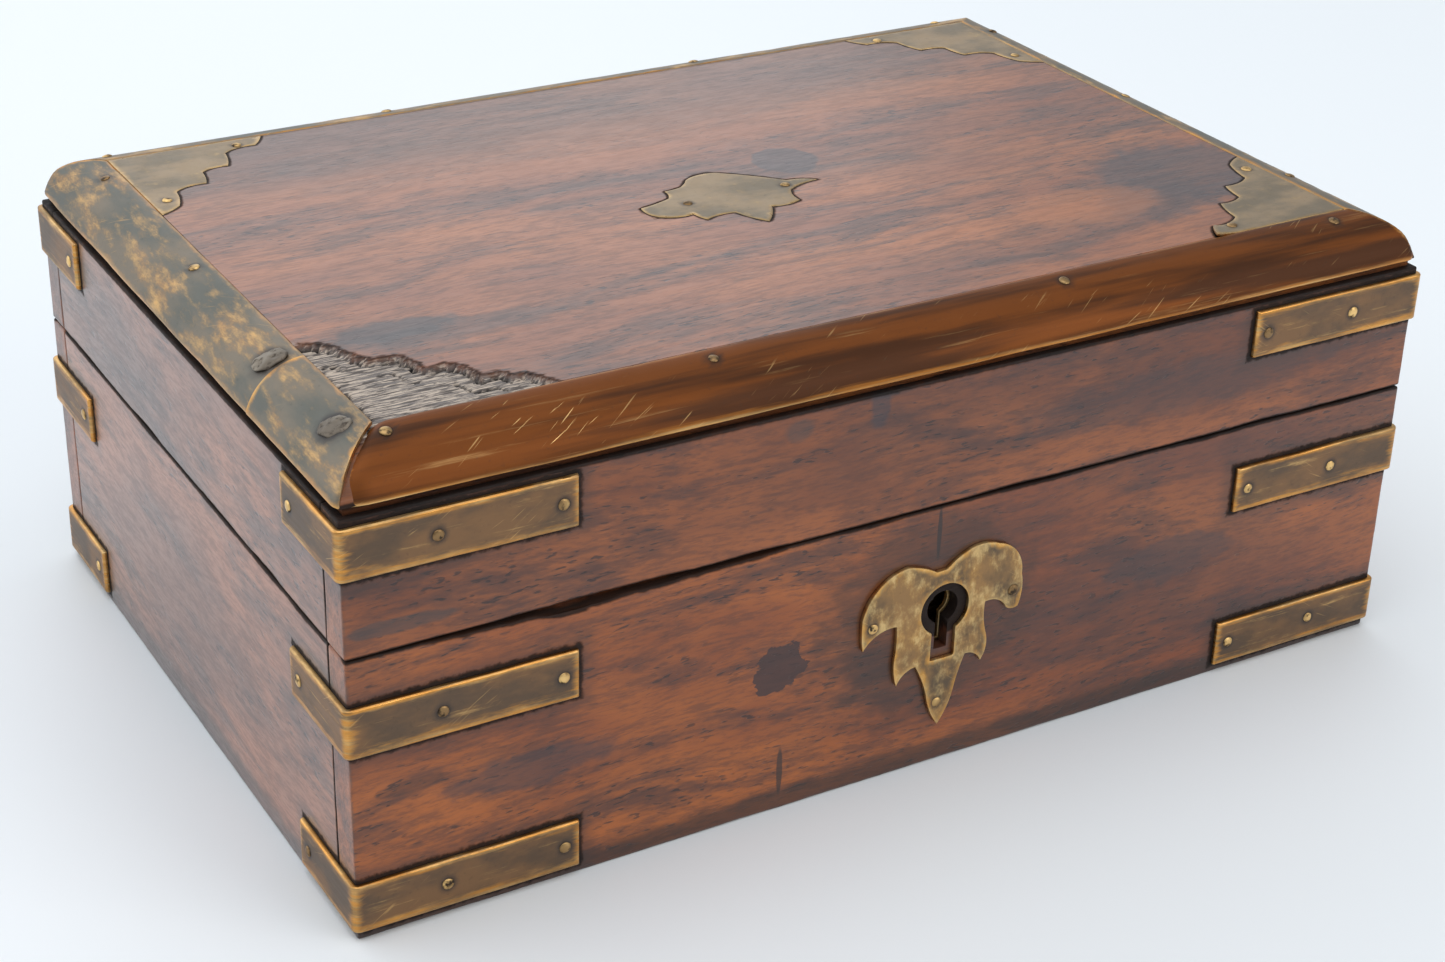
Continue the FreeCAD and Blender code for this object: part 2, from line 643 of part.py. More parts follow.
leaf_thick = dim("hinge_leaf")
knuckle = dim("knuckle_radius")
axis_y = back + knuckle + dim("knuckle_offset")
axis_z = base_top + dim("seam_gap") / 2
hinge_half = dim("hinge_length") / 2
third = dim("hinge_length") / 6
inlet_y = inner_back + dim("hinge_margin")
bore = dim("pin_radius") + dim("pin_clearance")
base_inlets, lid_inlets, pins = [], [], []
base_hinge_places, lid_hinge_places = [], []
hinge_blanks = []
for side_name, side in (("left", -1), ("right", 1)):
    middle = dim("hinge_spread") * side
    low_x, high_x = middle - hinge_half, middle + hinge_half
    base_leaf_box = box("base_leaf", (low_x, inlet_y, base_top - leaf_thick), (high_x, back, base_top))
    lid_leaf_box = box("lid_leaf", (low_x, inlet_y, lid_bottom), (high_x, back, lid_bottom + leaf_thick))
    base_inlets.append(box("base_inlet", (low_x, inlet_y, base_top - leaf_thick),
                           (high_x, back + 1, base_top + 1)))
    lid_inlets.append(box("lid_inlet", (low_x, inlet_y, lid_bottom - 1),
                          (high_x, back + 1, lid_bottom + leaf_thick)))
    for step in (-2, 0, 2):
        spot_x = middle + third * step
        spot_y = (inlet_y + back) / 2
        base_hinge_places.append(((spot_x, spot_y, base_top), (0, 0, 1)))
        lid_hinge_places.append(((spot_x, spot_y, lid_bottom), (0, 0, -1)))
    stretches = [(low_x, middle - third - dim("knuckle_gap")),
                 (middle + third + dim("knuckle_gap"), high_x)]
    base_pieces = [base_leaf_box]
    for start, end in stretches:
        base_pieces.append(cylinder("base_knuckle", (start, axis_y, axis_z), knuckle, end - start, TURN_X))
        base_pieces.append(box("base_neck", (start, back, base_top - leaf_thick), (end, axis_y, base_top)))
    lid_pieces = [lid_leaf_box,
                  cylinder("lid_knuckle", (middle - third, axis_y, axis_z), knuckle, third * 2, TURN_X),
                  box("lid_neck", (middle - third, back, lid_bottom),
                      (middle + third, axis_y, lid_bottom + leaf_thick))]
    pin_hole = cylinder("pin_hole", (low_x - 1, axis_y, axis_z), bore, dim("hinge_length") + 2, TURN_X)
    hinge_blanks.append((side_name, fuse("base_leaf_solid", *base_pieces),
                         fuse("lid_leaf_solid", *lid_pieces), pin_hole))
    rod = cylinder("pin_rod", (low_x, axis_y, axis_z), dim("pin_radius"), dim("hinge_length"), TURN_X)
    head_radius, head_length = dim("pin_radius") * 1.6, dim("head_height")
    heads = [cylinder("pin_head", (start, axis_y, axis_z), head_radius, head_length, TURN_X)
             for start in (low_x - head_length, high_x)]
    pins.append(fuse("hinge_pin", rod, *heads))

base_hinge_screws = driven("hinge_base_screws", slotted_screw, base_hinge_places)
base_hinge_holes = driven("hinge_base_holes", screw_hole, base_hinge_places)
lid_hinge_screws = driven("hinge_lid_screws", slotted_screw, lid_hinge_places)
lid_hinge_holes = driven("hinge_lid_holes", screw_hole, lid_hinge_places)
for side_name, base_blank, lid_blank, pin_hole in hinge_blanks:
    parts.append(cut(f"hinge_base_leaf_{side_name}", base_blank, pin_hole, base_hinge_holes))
    parts.append(cut(f"hinge_lid_leaf_{side_name}", lid_blank, pin_hole, lid_hinge_holes))
parts += [group("hinge_pins", pins), base_hinge_screws, lid_hinge_screws]

# ---- base: four boards, bottom, dividers and ledges ----------------------------------------

front_board = box("front_board", (-right, -back, 0), (right, -inner_back, base_top))
back_board = box("back_board", (-right, inner_back, 0), (right, back, base_top))
parts.append(cut("base_front_board", front_board, mortise, wood_keyhole, base_nail_holes,
                 escutcheon_holes, lock_screw_holes))
parts.append(cut("base_back_board", back_board, *base_inlets, base_nail_holes, base_hinge_holes))
for side_name, side in (("left", -1), ("right", 1)):
    edges = sorted((right * side, inner_right * side), key=lambda edge: edge.number)
    side_board = box("side_board", (edges[0], -inner_back, 0), (edges[1], inner_back, base_top))
    parts.append(cut(f"base_{side_name}_board", side_board, base_nail_holes))
parts.append(box("base_bottom_board", (-inner_right, -inner_back, 0), (inner_right, inner_back, floor_z)))

well = dim("well_width") / 2
divider = dim("divider_thickness")
inner_top = ledge_top + dim("inner_lid_thickness")
ledge = dim("ledge")
gap_in = dim("inner_lid_clearance")
ledges = []
for side_name, side in (("left", -1), ("right", 1)):
    faces = sorted((well * side, (well + divider) * side), key=lambda face: face.number)
    parts.append(box(f"divider_{side_name}", (faces[0], -inner_back, floor_z),
                     (faces[1], inner_back, inner_top)))
    ends = sorted(((well + divider) * side, inner_right * side), key=lambda end: end.number)
    for low_y, high_y in ((-inner_back, -inner_back + ledge), (inner_back - ledge, inner_back)):
        ledges.append(box("ledge_strip", (ends[0], low_y, ledge_top - ledge), (ends[1], high_y, ledge_top)))
    middle = (ends[0] + ends[1]) / 2
    inner_lid_board = box("inner_lid_board", (ends[0] + gap_in, -inner_back + gap_in, ledge_top),
                          (ends[1] - gap_in, inner_back - gap_in, inner_top))
    peg = cylinder("peg_hole", (middle, 0, ledge_top), dim("knob_radius") * 0.4,
                   dim("inner_lid_thickness") + 1)
    parts.append(cut(f"inner_lid_{side_name}", inner_lid_board, peg))
    radius, height = dim("knob_radius"), dim("knob_height")
    peg_depth = dim("inner_lid_thickness") - 1
    knob = turned(f"inner_knob_{side_name}", [
        (0, -peg_depth), (radius * 0.4 - clear, -peg_depth), (radius * 0.4 - clear, 0), (radius * 0.8, 0),
        (radius * 0.8, height * 0.12), (radius * 0.45, height * 0.25), (radius * 0.45, height * 0.4),
        (radius, height * 0.65), (radius * 0.85, height * 0.9), (radius * 0.3, height), (0, height)])
    parts.append(place(knob, (middle, 0, inner_top)))
parts.append(group("compartment_ledges", ledges))

# ---- lid: rails, top board, brass edge, inlaid plates --------------------------------------

front_rail = box("front_rail", (-right, -back, lid_bottom), (right, -inner_back, rail_top))
back_rail = box("back_rail", (-right, inner_back, lid_bottom), (right, back, rail_top))
parts.append(cut("lid_front_rail", front_rail, link_recess, link_screw_holes, lid_nail_holes))
parts.append(cut("lid_back_rail", back_rail, *lid_inlets, lid_hinge_holes, lid_nail_holes))
for side_name, side in (("left", -1), ("right", 1)):
    edges = sorted((right * side, inner_right * side), key=lambda edge: edge.number)
    side_rail = box("side_rail", (edges[0], -inner_back, lid_bottom), (edges[1], inner_back, rail_top))
    parts.append(cut(f"lid_{side_name}_rail", side_rail, lid_nail_holes))

edge_width = dim("edge_width")
edge_low = lid_top - dim("edge_height")
sheet_thick = dim("edge_sheet")
# The edge's section is an arc that leaves the top flat and ends at the outer face, edge_height down.
radius_formula = "((Dims.edge_width^2 + Dims.edge_height^2) / (2 * Dims.edge_height))"
radius_number = (edge_width.number ** 2 + dim("edge_height").number ** 2) / (2 * dim("edge_height").number)
edge_radius = Size(radius_number, radius_formula)
edge_centre_z = lid_top - edge_radius


def edge_rod(name, side, radius):
    """The round that a brass edge follows, along one side of the lid."""
    if side in ("front", "back"):
        y = (back - edge_width) * (-1 if side == "front" else 1)
        return cylinder(name, (-right - 1, y, edge_centre_z), radius, dim("body_length") + 2, TURN_X)
    x = (right - edge_width) * (-1 if side == "left" else 1)
    return cylinder(name, (x, -back - 1, edge_centre_z), radius, dim("body_depth") + 2, TURN_BACK)


def edge_plan(side):
    """The mitred strip that a brass edge covers, seen from above."""
    in_x, in_y = right - edge_width, back - edge_width
    if side in ("front", "back"):
        sign = -1 if side == "front" else 1
        return [(-right, back * sign), (right, back * sign), (in_x, in_y * sign), (-in_x, in_y * sign)]
    sign = -1 if side == "left" else 1
    return [(right * sign, -back), (right * sign, back), (in_x * sign, in_y), (in_x * sign, -in_y)]


def brass_edge(side):
    tube = cut(f"edge_tube_{side}", edge_rod("edge_outer", side, edge_radius),
               edge_rod("edge_inner", side, edge_radius - sheet_thick))
    plan = slab(f"edge_plan_{side}", "XY_Plane",
                lambda sketch: draw_outline(sketch, edge_plan(side)),
                dim("edge_height"), (0, 0, edge_low))
    return common(f"lid_edge_{side}", tube, plan)


def edge_waste(side):
    """What is taken off the top board for a brass edge to lie on."""
    across = edge_width + 1
    if side in ("front", "back"):
        ys = (-back - 1, -back + edge_width) if side == "front" else (back - edge_width, back + 1)
        strip = box("edge_strip", (-right - 1, ys[0], edge_low), (right + 1, ys[1], lid_top + 1))
    else:
        xs = (-right - 1, -right + edge_width) if side == "left" else (right - edge_width, right + 1)
        strip = box("edge_strip", (xs[0], -back - 1, edge_low), (xs[1], back + 1, lid_top + 1))
    return cut(f"edge_waste_{side}", strip, edge_rod("edge_seat", side, edge_radius - sheet_thick))


PLATE = [
    # a triangle with a scalloped long side; legs run along the brass edges from the corner (0, 0)
    ((1, 0), 0), ((0.91, 0.14), 0.1), ((0.69, 0.20), -0.25), ((0.63, 0.41), 0.08),
    ((0.45, 0.45), -0.25), ((0.41, 0.63), 0.08), ((0.20, 0.69), -0.25), ((0.14, 0.91), 0.08),
    ((0, 1), 0.1), ((0, 0), 0),
]
corner_x = right - edge_width
corner_y = back - edge_width


def corner_plate(name, side, end, thickness, top):
    """A plate, or the seat cut for it, in one corner of the top."""
    leg = dim("plate_leg").number
    flip = side * end
    stretches = []
    for (u, v), bulge in PLATE:
        stretches.append(((-u * leg * side, -v * leg * end), bulge * flip))
    return slab(name, "XY_Plane", lambda sketch: draw_scallops(sketch, (0, 0), stretches),
                thickness, (corner_x * side, corner_y * end, top - thickness))


MEDALLION_START = (-22.2, 2.5)
MEDALLION = [
    ((-21.0, -3.6), 0.25), ((-13.8, -5.1), 0.25), ((-12.6, -9.2), 0.1), ((-5.4, -8.2), -0.2),
    ((-1.6, -15.7), 0.1), ((3.2, -8.7), 0.1), ((10.4, -8.3), 0.2), ((11.9, -2.3), -0.2),
    ((20.1, 0.4), -0.15), ((13.9, 3.0), 0.2), ((2.5, 13.4), 0.05), ((-5.9, 12.4), 0.3),
    ((-8.8, 9.5), -0.1), ((-13.1, 8.8), -0.1), ((-14.4, 4.7), -0.2), ((-22.2, 2.5), -0.05),
]
MEDALLION_AT = (0, -6.8)


def medallion(name, thickness, top):
    return slab(name, "XY_Plane",
                lambda sketch: draw_scallops(sketch, MEDALLION_START, MEDALLION),
                thickness, (*MEDALLION_AT, top - thickness))


plate_thick = dim("plate_thickness")
lid_edges = {side: brass_edge(side) for side in ("front", "back", "left", "right")}

# Small brass nails hold the edge, square to its round, and pin the inlaid plates.
nail_lean = 0.28
lean_up = math.sqrt(1 - nail_lean ** 2)
edge_nail_inset = edge_width - edge_radius * nail_lean
edge_nail_z = edge_centre_z + edge_radius * lean_up
top_nail_places = []
for share in (-0.895, -0.365, 0.285, 0.855):
    for end in (-1, 1):
        top_nail_places.append(((right * share, (back - edge_nail_inset) * end, edge_nail_z),
                                (0, nail_lean * end, lean_up)))
for share in (-0.6, 0.1, 0.75):
    top_nail_places.append((((right - edge_nail_inset), back * share, edge_nail_z), (nail_lean, 0, lean_up)))
for share in (0.1, 0.75):
    top_nail_places.append((((right - edge_nail_inset) * -1, back * share, edge_nail_z),
                            (-nail_lean, 0, lean_up)))
PLATES = [("back_left", -1, 1), ("back_right", 1, 1), ("front_right", 1, -1)]
for _, side, end in PLATES:
    for u, v in ((0.8, 0.1), (0.1, 0.8)):
        top_nail_places.append((((corner_x - dim("plate_leg") * u) * side,
                                 (corner_y - dim("plate_leg") * v) * end, lid_top), (0, 0, 1)))
for u in (-12, 12):
    top_nail_places.append(((u, MEDALLION_AT[1] + 0.5, lid_top), (0, 0, 1)))
iron_lean = 0.45
iron_up = math.sqrt(1 - iron_lean ** 2)
iron_inset = edge_width - edge_radius * iron_lean
iron_z = edge_centre_z + edge_radius * iron_up
iron_places = [
    ((-(right - iron_inset), -back + from_front, iron_z), (-iron_lean, 0, iron_up))
    for from_front in (dim("edge_seam") + 5, dim("edge_seam") * 0.38)
]
top_nails = driven("lid_top_nails", brass_nail, top_nail_places)
top_nail_holes = driven("top_nail_holes", brass_nail_hole, top_nail_places)
iron_nails = driven("lid_iron_nails", iron_nail, iron_places)
iron_holes = driven("iron_nail_holes", iron_nail_hole, iron_places)

# The left edge is in two lengths: a short one at the front corner, and the rest.
seam_y = -back + dim("edge_seam")
front_part = box("edge_front_part", (-right - 1, -back - 1, edge_low - 1), (0, seam_y, lid_top + 1))
for side in ("front", "back", "right"):
    parts.append(cut(f"lid_edge_{side}_strip", lid_edges[side], top_nail_holes))
parts.append(cut("lid_edge_left_strip", lid_edges["left"], front_part, top_nail_holes, iron_holes))
parts.append(cut("lid_edge_corner_strip", common("edge_corner", lid_edges["left"], front_part), iron_holes))

top_blank = box("top_blank", (-right, -back, rail_top), (right, back, lid_top))
shadow = dim("edge_shadow")
top_low = box("top_low", (-right + shadow, -back + shadow, rail_top - 1),
              (right - shadow, back - shadow, edge_low))
top_high = box("top_high", (-right - 1, -back - 1, edge_low), (right + 1, back + 1, lid_top + 1))
top_reach = fuse("top_reach", top_low, top_high)
seats = [corner_plate(f"plate_seat_{corner}", side, end, plate_thick, lid_top)
         for corner, side, end in CORNERS]
wastes = [edge_waste(side) for side in ("front", "back", "left", "right")]
parts.append(cut("lid_top_board", common("top_stepped", top_blank, top_reach), *wastes, *seats,
                 medallion("medallion_seat", plate_thick, lid_top), top_nail_holes, iron_holes))
for corner, side, end in PLATES:
    blank = corner_plate(f"plate_blank_{corner}", side, end, plate_thick, lid_top)
    parts.append(cut(f"corner_plate_{corner}", blank, top_nail_holes))
parts.append(cut("lid_medallion", medallion("medallion_blank", plate_thick, lid_top), top_nail_holes))
parts += [top_nails, iron_nails]

# ---- check and write -----------------------------------------------------------------------

doc.recompute()
for item in doc.Objects:
    if "Invalid" in item.State or "Error" in item.State:
        raise RuntimeError(f"{item.Name} did not recompute: {item.State}")
for item in parts:
    if item.Shape.isNull() or not item.Shape.isValid():
        raise RuntimeError(f"{item.Label} has no valid shape")
os.makedirs("parts", exist_ok=True)
for item in parts:
    item.Shape.exportStep(f"parts/{item.Label}.step")
    print(f"{item.Label}: {len(item.Shape.Solids)} solids, {item.Shape.Volume:.1f} mm3")
print(len(parts), "sub-parts")
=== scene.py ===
import math
import random

import bmesh
import bpy
import numpy as np
from mathutils import Euler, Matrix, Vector, noise
from mathutils.geometry import delaunay_2d_cdt


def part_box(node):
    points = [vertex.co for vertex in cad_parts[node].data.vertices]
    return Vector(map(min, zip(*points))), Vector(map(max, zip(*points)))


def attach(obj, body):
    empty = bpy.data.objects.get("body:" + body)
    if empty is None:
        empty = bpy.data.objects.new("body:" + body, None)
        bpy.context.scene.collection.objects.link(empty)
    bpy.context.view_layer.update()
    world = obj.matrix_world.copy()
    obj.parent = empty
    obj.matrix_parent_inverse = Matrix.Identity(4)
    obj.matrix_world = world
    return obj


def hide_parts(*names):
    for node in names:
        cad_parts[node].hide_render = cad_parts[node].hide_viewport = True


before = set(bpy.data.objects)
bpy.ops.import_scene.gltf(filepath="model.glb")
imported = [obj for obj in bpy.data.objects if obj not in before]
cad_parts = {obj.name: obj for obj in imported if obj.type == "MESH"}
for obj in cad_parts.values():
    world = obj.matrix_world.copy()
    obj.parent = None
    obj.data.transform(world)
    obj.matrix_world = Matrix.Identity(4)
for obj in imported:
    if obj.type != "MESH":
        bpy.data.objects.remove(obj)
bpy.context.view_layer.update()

# ---- camera, light and floor ----------------------------------------------------------------
# The caddy stands on a pale painted table in soft, cool daylight, seen from its front-left
# corner and a little above.
camera = bpy.data.objects.new("camera", bpy.data.cameras.new("camera"))
camera.location = (-0.26874, -0.45346, 0.30389)
camera.rotation_euler = Euler([math.radians(turn) for turn in (62.375, -1.438, -30.106)])
camera.data.lens = 65.2
camera.data.sensor_width = 36
camera.data.clip_start = 0.01
bpy.context.scene.collection.objects.link(camera)
bpy.context.scene.camera = camera

world = bpy.data.worlds.new("daylight")
world.use_nodes = True
sky = world.node_tree
sky.nodes["Background"].inputs["Color"].default_value = (0.88, 0.94, 1.0, 1)
# The room is bright behind the caddy and to its left, and dimmer on the near side.
facing = sky.nodes.new("ShaderNodeVectorMath")
facing.operation = "DOT_PRODUCT"
facing.inputs[1].default_value = (-0.55, 0.80, 0.20)
sky.links.new(sky.nodes.new("ShaderNodeTexCoord").outputs["Generated"], facing.inputs[0])
brightness = sky.nodes.new("ShaderNodeMapRange")
brightness.inputs["From Min"].default_value = -1.0
brightness.inputs["To Min"].default_value = 0.36
brightness.inputs["To Max"].default_value = 0.79
sky.links.new(facing.outputs["Value"], brightness.inputs["Value"])
sky.links.new(brightness.outputs["Result"], sky.nodes["Background"].inputs["Strength"])
bpy.context.scene.world = world
bpy.context.scene.view_settings.view_transform = "Standard"


def soft_light(name, at, size, power, colour, aim=(0, 0, 0.05)):
    """A rectangular lamp turned to face the caddy."""
    data = bpy.data.lights.new(name, "AREA")
    data.shape = "RECTANGLE"
    data.size, data.size_y = size
    data.energy = power
    data.color = colour
    lamp = bpy.data.objects.new(name, data)
    lamp.location = at
    lamp.rotation_euler = (Vector(aim) - Vector(at)).to_track_quat("-Z", "Y").to_euler()
    bpy.context.scene.collection.objects.link(lamp)


soft_light("window_behind", (0.1, 1.9, 1.1), (2.6, 1.3), 9, (0.90, 0.95, 1.0))
soft_light("window_left", (-2.0, 1.2, 0.9), (2.2, 1.5), 13, (0.90, 0.95, 1.0))
soft_light("ceiling", (-0.3, -0.2, 1.9), (2.2, 2.2), 19, (0.97, 0.98, 1.0))
soft_light("front_fill", (0.9, -1.5, 0.9), (1.2, 1.0), 10, (1.0, 0.98, 0.95))

table_mesh = bpy.data.meshes.new("table")
table_half = 3
corners = [(-table_half, -table_half, 0), (table_half, -table_half, 0),
           (table_half, table_half, 0), (-table_half, table_half, 0)]
table_mesh.from_pydata(corners, [], [(0, 1, 2, 3)])
table = bpy.data.objects.new("table", table_mesh)
bpy.context.scene.collection.objects.link(table)
table_paint = bpy.data.materials.new("table_paint")
table_paint.use_nodes = True
paint = table_paint.node_tree.nodes["Principled BSDF"].inputs
paint["Base Color"].default_value = (0.84, 0.865, 0.88, 1)
paint["Roughness"].default_value = 0.5
table_mesh.materials.append(table_paint)

# ---- base boards ----------------------------------------------------------------------------
# Four boards of dark oiled teak, butted at the corners and nailed, round a thin bottom board.
# The front and back boards run the full length, so their end grain shows on the short sides.
# Their outer arrises are rounded by handling, and the edges along the seam are chipped.
MM = 0.001


class Net:
    """Adds nodes to one node tree. A wire is a source socket or a plain value."""

    def __init__(self, tree):
        self.tree = tree

    def wire(self, inputs, wires):
        for key, source in wires.items():
            if isinstance(source, bpy.types.NodeSocket):
                self.tree.links.new(source, inputs[key])
            else:
                inputs[key].default_value = source

    def put(self, kind, wires=None, **settings):
        """Add a node and give back its outputs."""
        item = self.tree.nodes.new(kind)
        for key, value in settings.items():
            setattr(item, key, value)
        self.wire(item.inputs, wires or {})
        return item.outputs

    def calc(self, operation, *values):
        return self.put("ShaderNodeMath", dict(enumerate(values)), operation=operation)[0]

    def times(self, *values):
        return self.calc("MULTIPLY", *values)

    def plus(self, *values):
        return self.calc("ADD", *values)

    def minus(self, *values):
        return self.calc("SUBTRACT", *values)

    def most(self, *values):
        return self.calc("MAXIMUM", *values)

    def fade(self, value, low, high, first=0.0, last=1.0):
        """A smooth step from first to last as value goes from low to high."""
        wires = {"Value": value, "From Min": low, "From Max": high, "To Min": first, "To Max": last}
        return self.put("ShaderNodeMapRange", wires, interpolation_type="SMOOTHSTEP")["Result"]

    def laid(self, vector, scale, turn=(0, 0, 0), move=(0, 0, 0)):
        """A vector stretched, turned and moved."""
        wires = {"Vector": vector, "Scale": scale, "Rotation": turn, "Location": move}
        return self.put("ShaderNodeMapping", wires)["Vector"]

    def cloud(self, vector, scale, detail=4.0, rough=0.55, warp=0.0):
        """Cloudy noise; scale is how many lumps to a metre on each axis."""
        wires = {"Vector": self.laid(vector, scale), "Scale": 1.0, "Detail": detail, "Roughness": rough,
                 "Distortion": warp}
        return self.put("ShaderNodeTexNoise", wires)["Fac"]

    def tint(self, amount, under, over):
        """One colour laid over another."""
        wires = {0: amount, 6: under, 7: over}
        for side in (6, 7):
            if not isinstance(wires[side], bpy.types.NodeSocket):
                wires[side] = (*wires[side], 1)
        return self.put("ShaderNodeMix", wires, data_type="RGBA")[2]

    def bump(self, strength, distance, height):
        wires = {"Strength": strength, "Distance": distance, "Height": height}
        return self.put("ShaderNodeBump", wires)[0]

    def group(self, net, wires):
        return self.put("ShaderNodeGroup", wires, node_tree=net.tree)

    def read(self, name):
        """A value marked on the piece's points."""
        return self.put("ShaderNodeAttribute", attribute_name=name)["Fac"]


def new_group(name, inputs, outputs, family="ShaderNodeTree"):
    """A group of nodes; each input is (name, kind, value) and each output is (name, kind)."""
    tree = bpy.data.node_groups.new(name, family)
    for word, kind, value in inputs:
        socket = tree.interface.new_socket(word, in_out="INPUT", socket_type=f"NodeSocket{kind}")
        if value is not None:
            socket.default_value = value
    for word, kind in outputs:
        tree.interface.new_socket(word, in_out="OUTPUT", socket_type=f"NodeSocket{kind}")
    return Net(tree), tree.nodes.new("NodeGroupInput").outputs, tree.nodes.new("NodeGroupOutput").inputs


# The figure of the teak, with the grain lying along the vector's X: broad dark streaks, fine
# fibres, short dark pores and cloudy patches.
net, given, result = new_group("teak_figure", [("Vector", "Vector", None)], [
    ("Streak", "Float"), ("Fibre", "Float"), ("Pore", "Float"), ("Patch", "Float")])
teak_figure = net
wander = net.times(net.cloud(given["Vector"], (9, 22, 22), detail=2), 0.012)
drift = net.put("ShaderNodeCombineXYZ", {"Y": wander, "Z": wander})[0]
bent = net.put("ShaderNodeVectorMath", {0: given["Vector"], 1: drift}, operation="ADD")[0]
broad = net.cloud(bent, (20, 100, 100), detail=5, rough=0.6, warp=0.5)
narrow = net.cloud(bent, (75, 430, 430), rough=0.6)
hair = net.cloud(bent, (260, 1500, 1500), detail=3, rough=0.7)
dash = net.cloud(bent, (330, 1500, 1500), detail=1, rough=0.5)
net.wire(result, {"Streak": net.plus(net.times(broad, 0.7), net.times(narrow, 0.3)),
                  "Fibre": net.plus(net.times(hair, 0.6), net.times(narrow, 0.4)),
                  "Pore": net.times(net.fade(dash, 0.60, 0.70), net.fade(broad, 0.40, 0.58)),
                  "Patch": net.cloud(given["Vector"], (14, 30, 30))})

# Dirt and painted shadow round the corner straps: dark next to the metal, where dirt lies in a
# painted shadow gap, and a faint painted shadow for 4 mm beyond. The straps lie in three bands, and
# each ends at a known reach from the middle of its side.
strap_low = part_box("base_strap_front_left_lower")
strap_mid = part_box("base_strap_front_left_upper")
strap_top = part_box("lid_strap_front_left")
left_end, end_y = -strap_low[1].x, -strap_low[1].y
right_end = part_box("base_strap_front_right_lower")[0].x
body_low, body_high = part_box("base_front_board")
net, given, result = new_group(
    "strap_dirt", [("Vector", "Vector", None)], [("Near", "Float"), ("Above", "Float")])
strap_dirt = net
axes = net.put("ShaderNodeSeparateXYZ", {0: given["Vector"]})
band_gap = 1.0
for low, high in (strap_low, strap_mid, strap_top):
    away = net.calc("ABSOLUTE", net.minus(axes["Z"], (low.z + high.z) / 2))
    band_gap = net.calc("MINIMUM", band_gap, away)
band_gap = net.minus(band_gap, (strap_low[1].z - strap_low[0].z) / 2)
across_x = net.calc("ABSOLUTE", axes["X"])
across_y = net.calc("ABSOLUTE", axes["Y"])
is_left = net.calc("LESS_THAN", axes["X"], 0.0)
end_x = net.plus(right_end, net.times(is_left, left_end - right_end))
on_side = net.calc("GREATER_THAN", across_x, body_high.x - 0.8 * MM)
from_end = net.plus(net.times(on_side, net.minus(end_y, across_y)),
                    net.times(net.minus(1.0, on_side), net.minus(end_x, across_x)))
# The straps never touch the inner faces, so neither dirt nor painted shadow goes deeper than a thin skin.
skin = 1.2 * MM
under_x = net.minus(body_high.x - skin, across_x)
under_y = net.minus(-body_low.y - skin, across_y)
indoors = net.times(net.calc("MINIMUM", under_x, under_y), 5.0)
gap = net.most(net.most(from_end, band_gap), indoors)
gap = net.minus(gap, net.times(net.cloud(given["Vector"], (700, 700, 700), detail=3), 1.6 * MM))
net.wire(result, {"Near": net.fade(gap, -0.3 * MM, 0.8 * MM, 1.0, 0.0),
                  "Above": net.fade(gap, -0.4 * MM, 4.5 * MM, 1.0, 0.0)})

# One stain, rubbed patch or patch of painted shade with a ragged edge.
net, given, result = new_group(
    "stain", [("Vector", "Vector", None), ("Centre", "Vector", None), ("Size", "Vector", (1, 1, 1)),
              ("Ragged", "Float", 0.4), ("Soft", "Float", 0.2)], [("Mask", "Float")])
stain = net
offset = net.put("ShaderNodeVectorMath", {0: given["Vector"], 1: given["Centre"]}, operation="SUBTRACT")[0]
offset = net.put("ShaderNodeVectorMath", {0: offset, 1: given["Size"]}, operation="DIVIDE")[0]
reach = net.put("ShaderNodeVectorMath", {0: offset}, operation="LENGTH")["Value"]
push = net.minus(net.cloud(given["Vector"], (170, 260, 260)), 0.5)
reach = net.plus(reach, net.times(push, net.times(given["Ragged"], 2.0)))
net.wire(result, {"Mask": net.fade(reach, 1.0, net.plus(1.0, given["Soft"]), 1.0, 0.0)})


def new_material(name):
    """A fresh material, its net of nodes and the inputs of its main shader."""
    material = bpy.data.materials.new(name)
    material.use_nodes = True
    return material, Net(material.node_tree), material.node_tree.nodes["Principled BSDF"].inputs


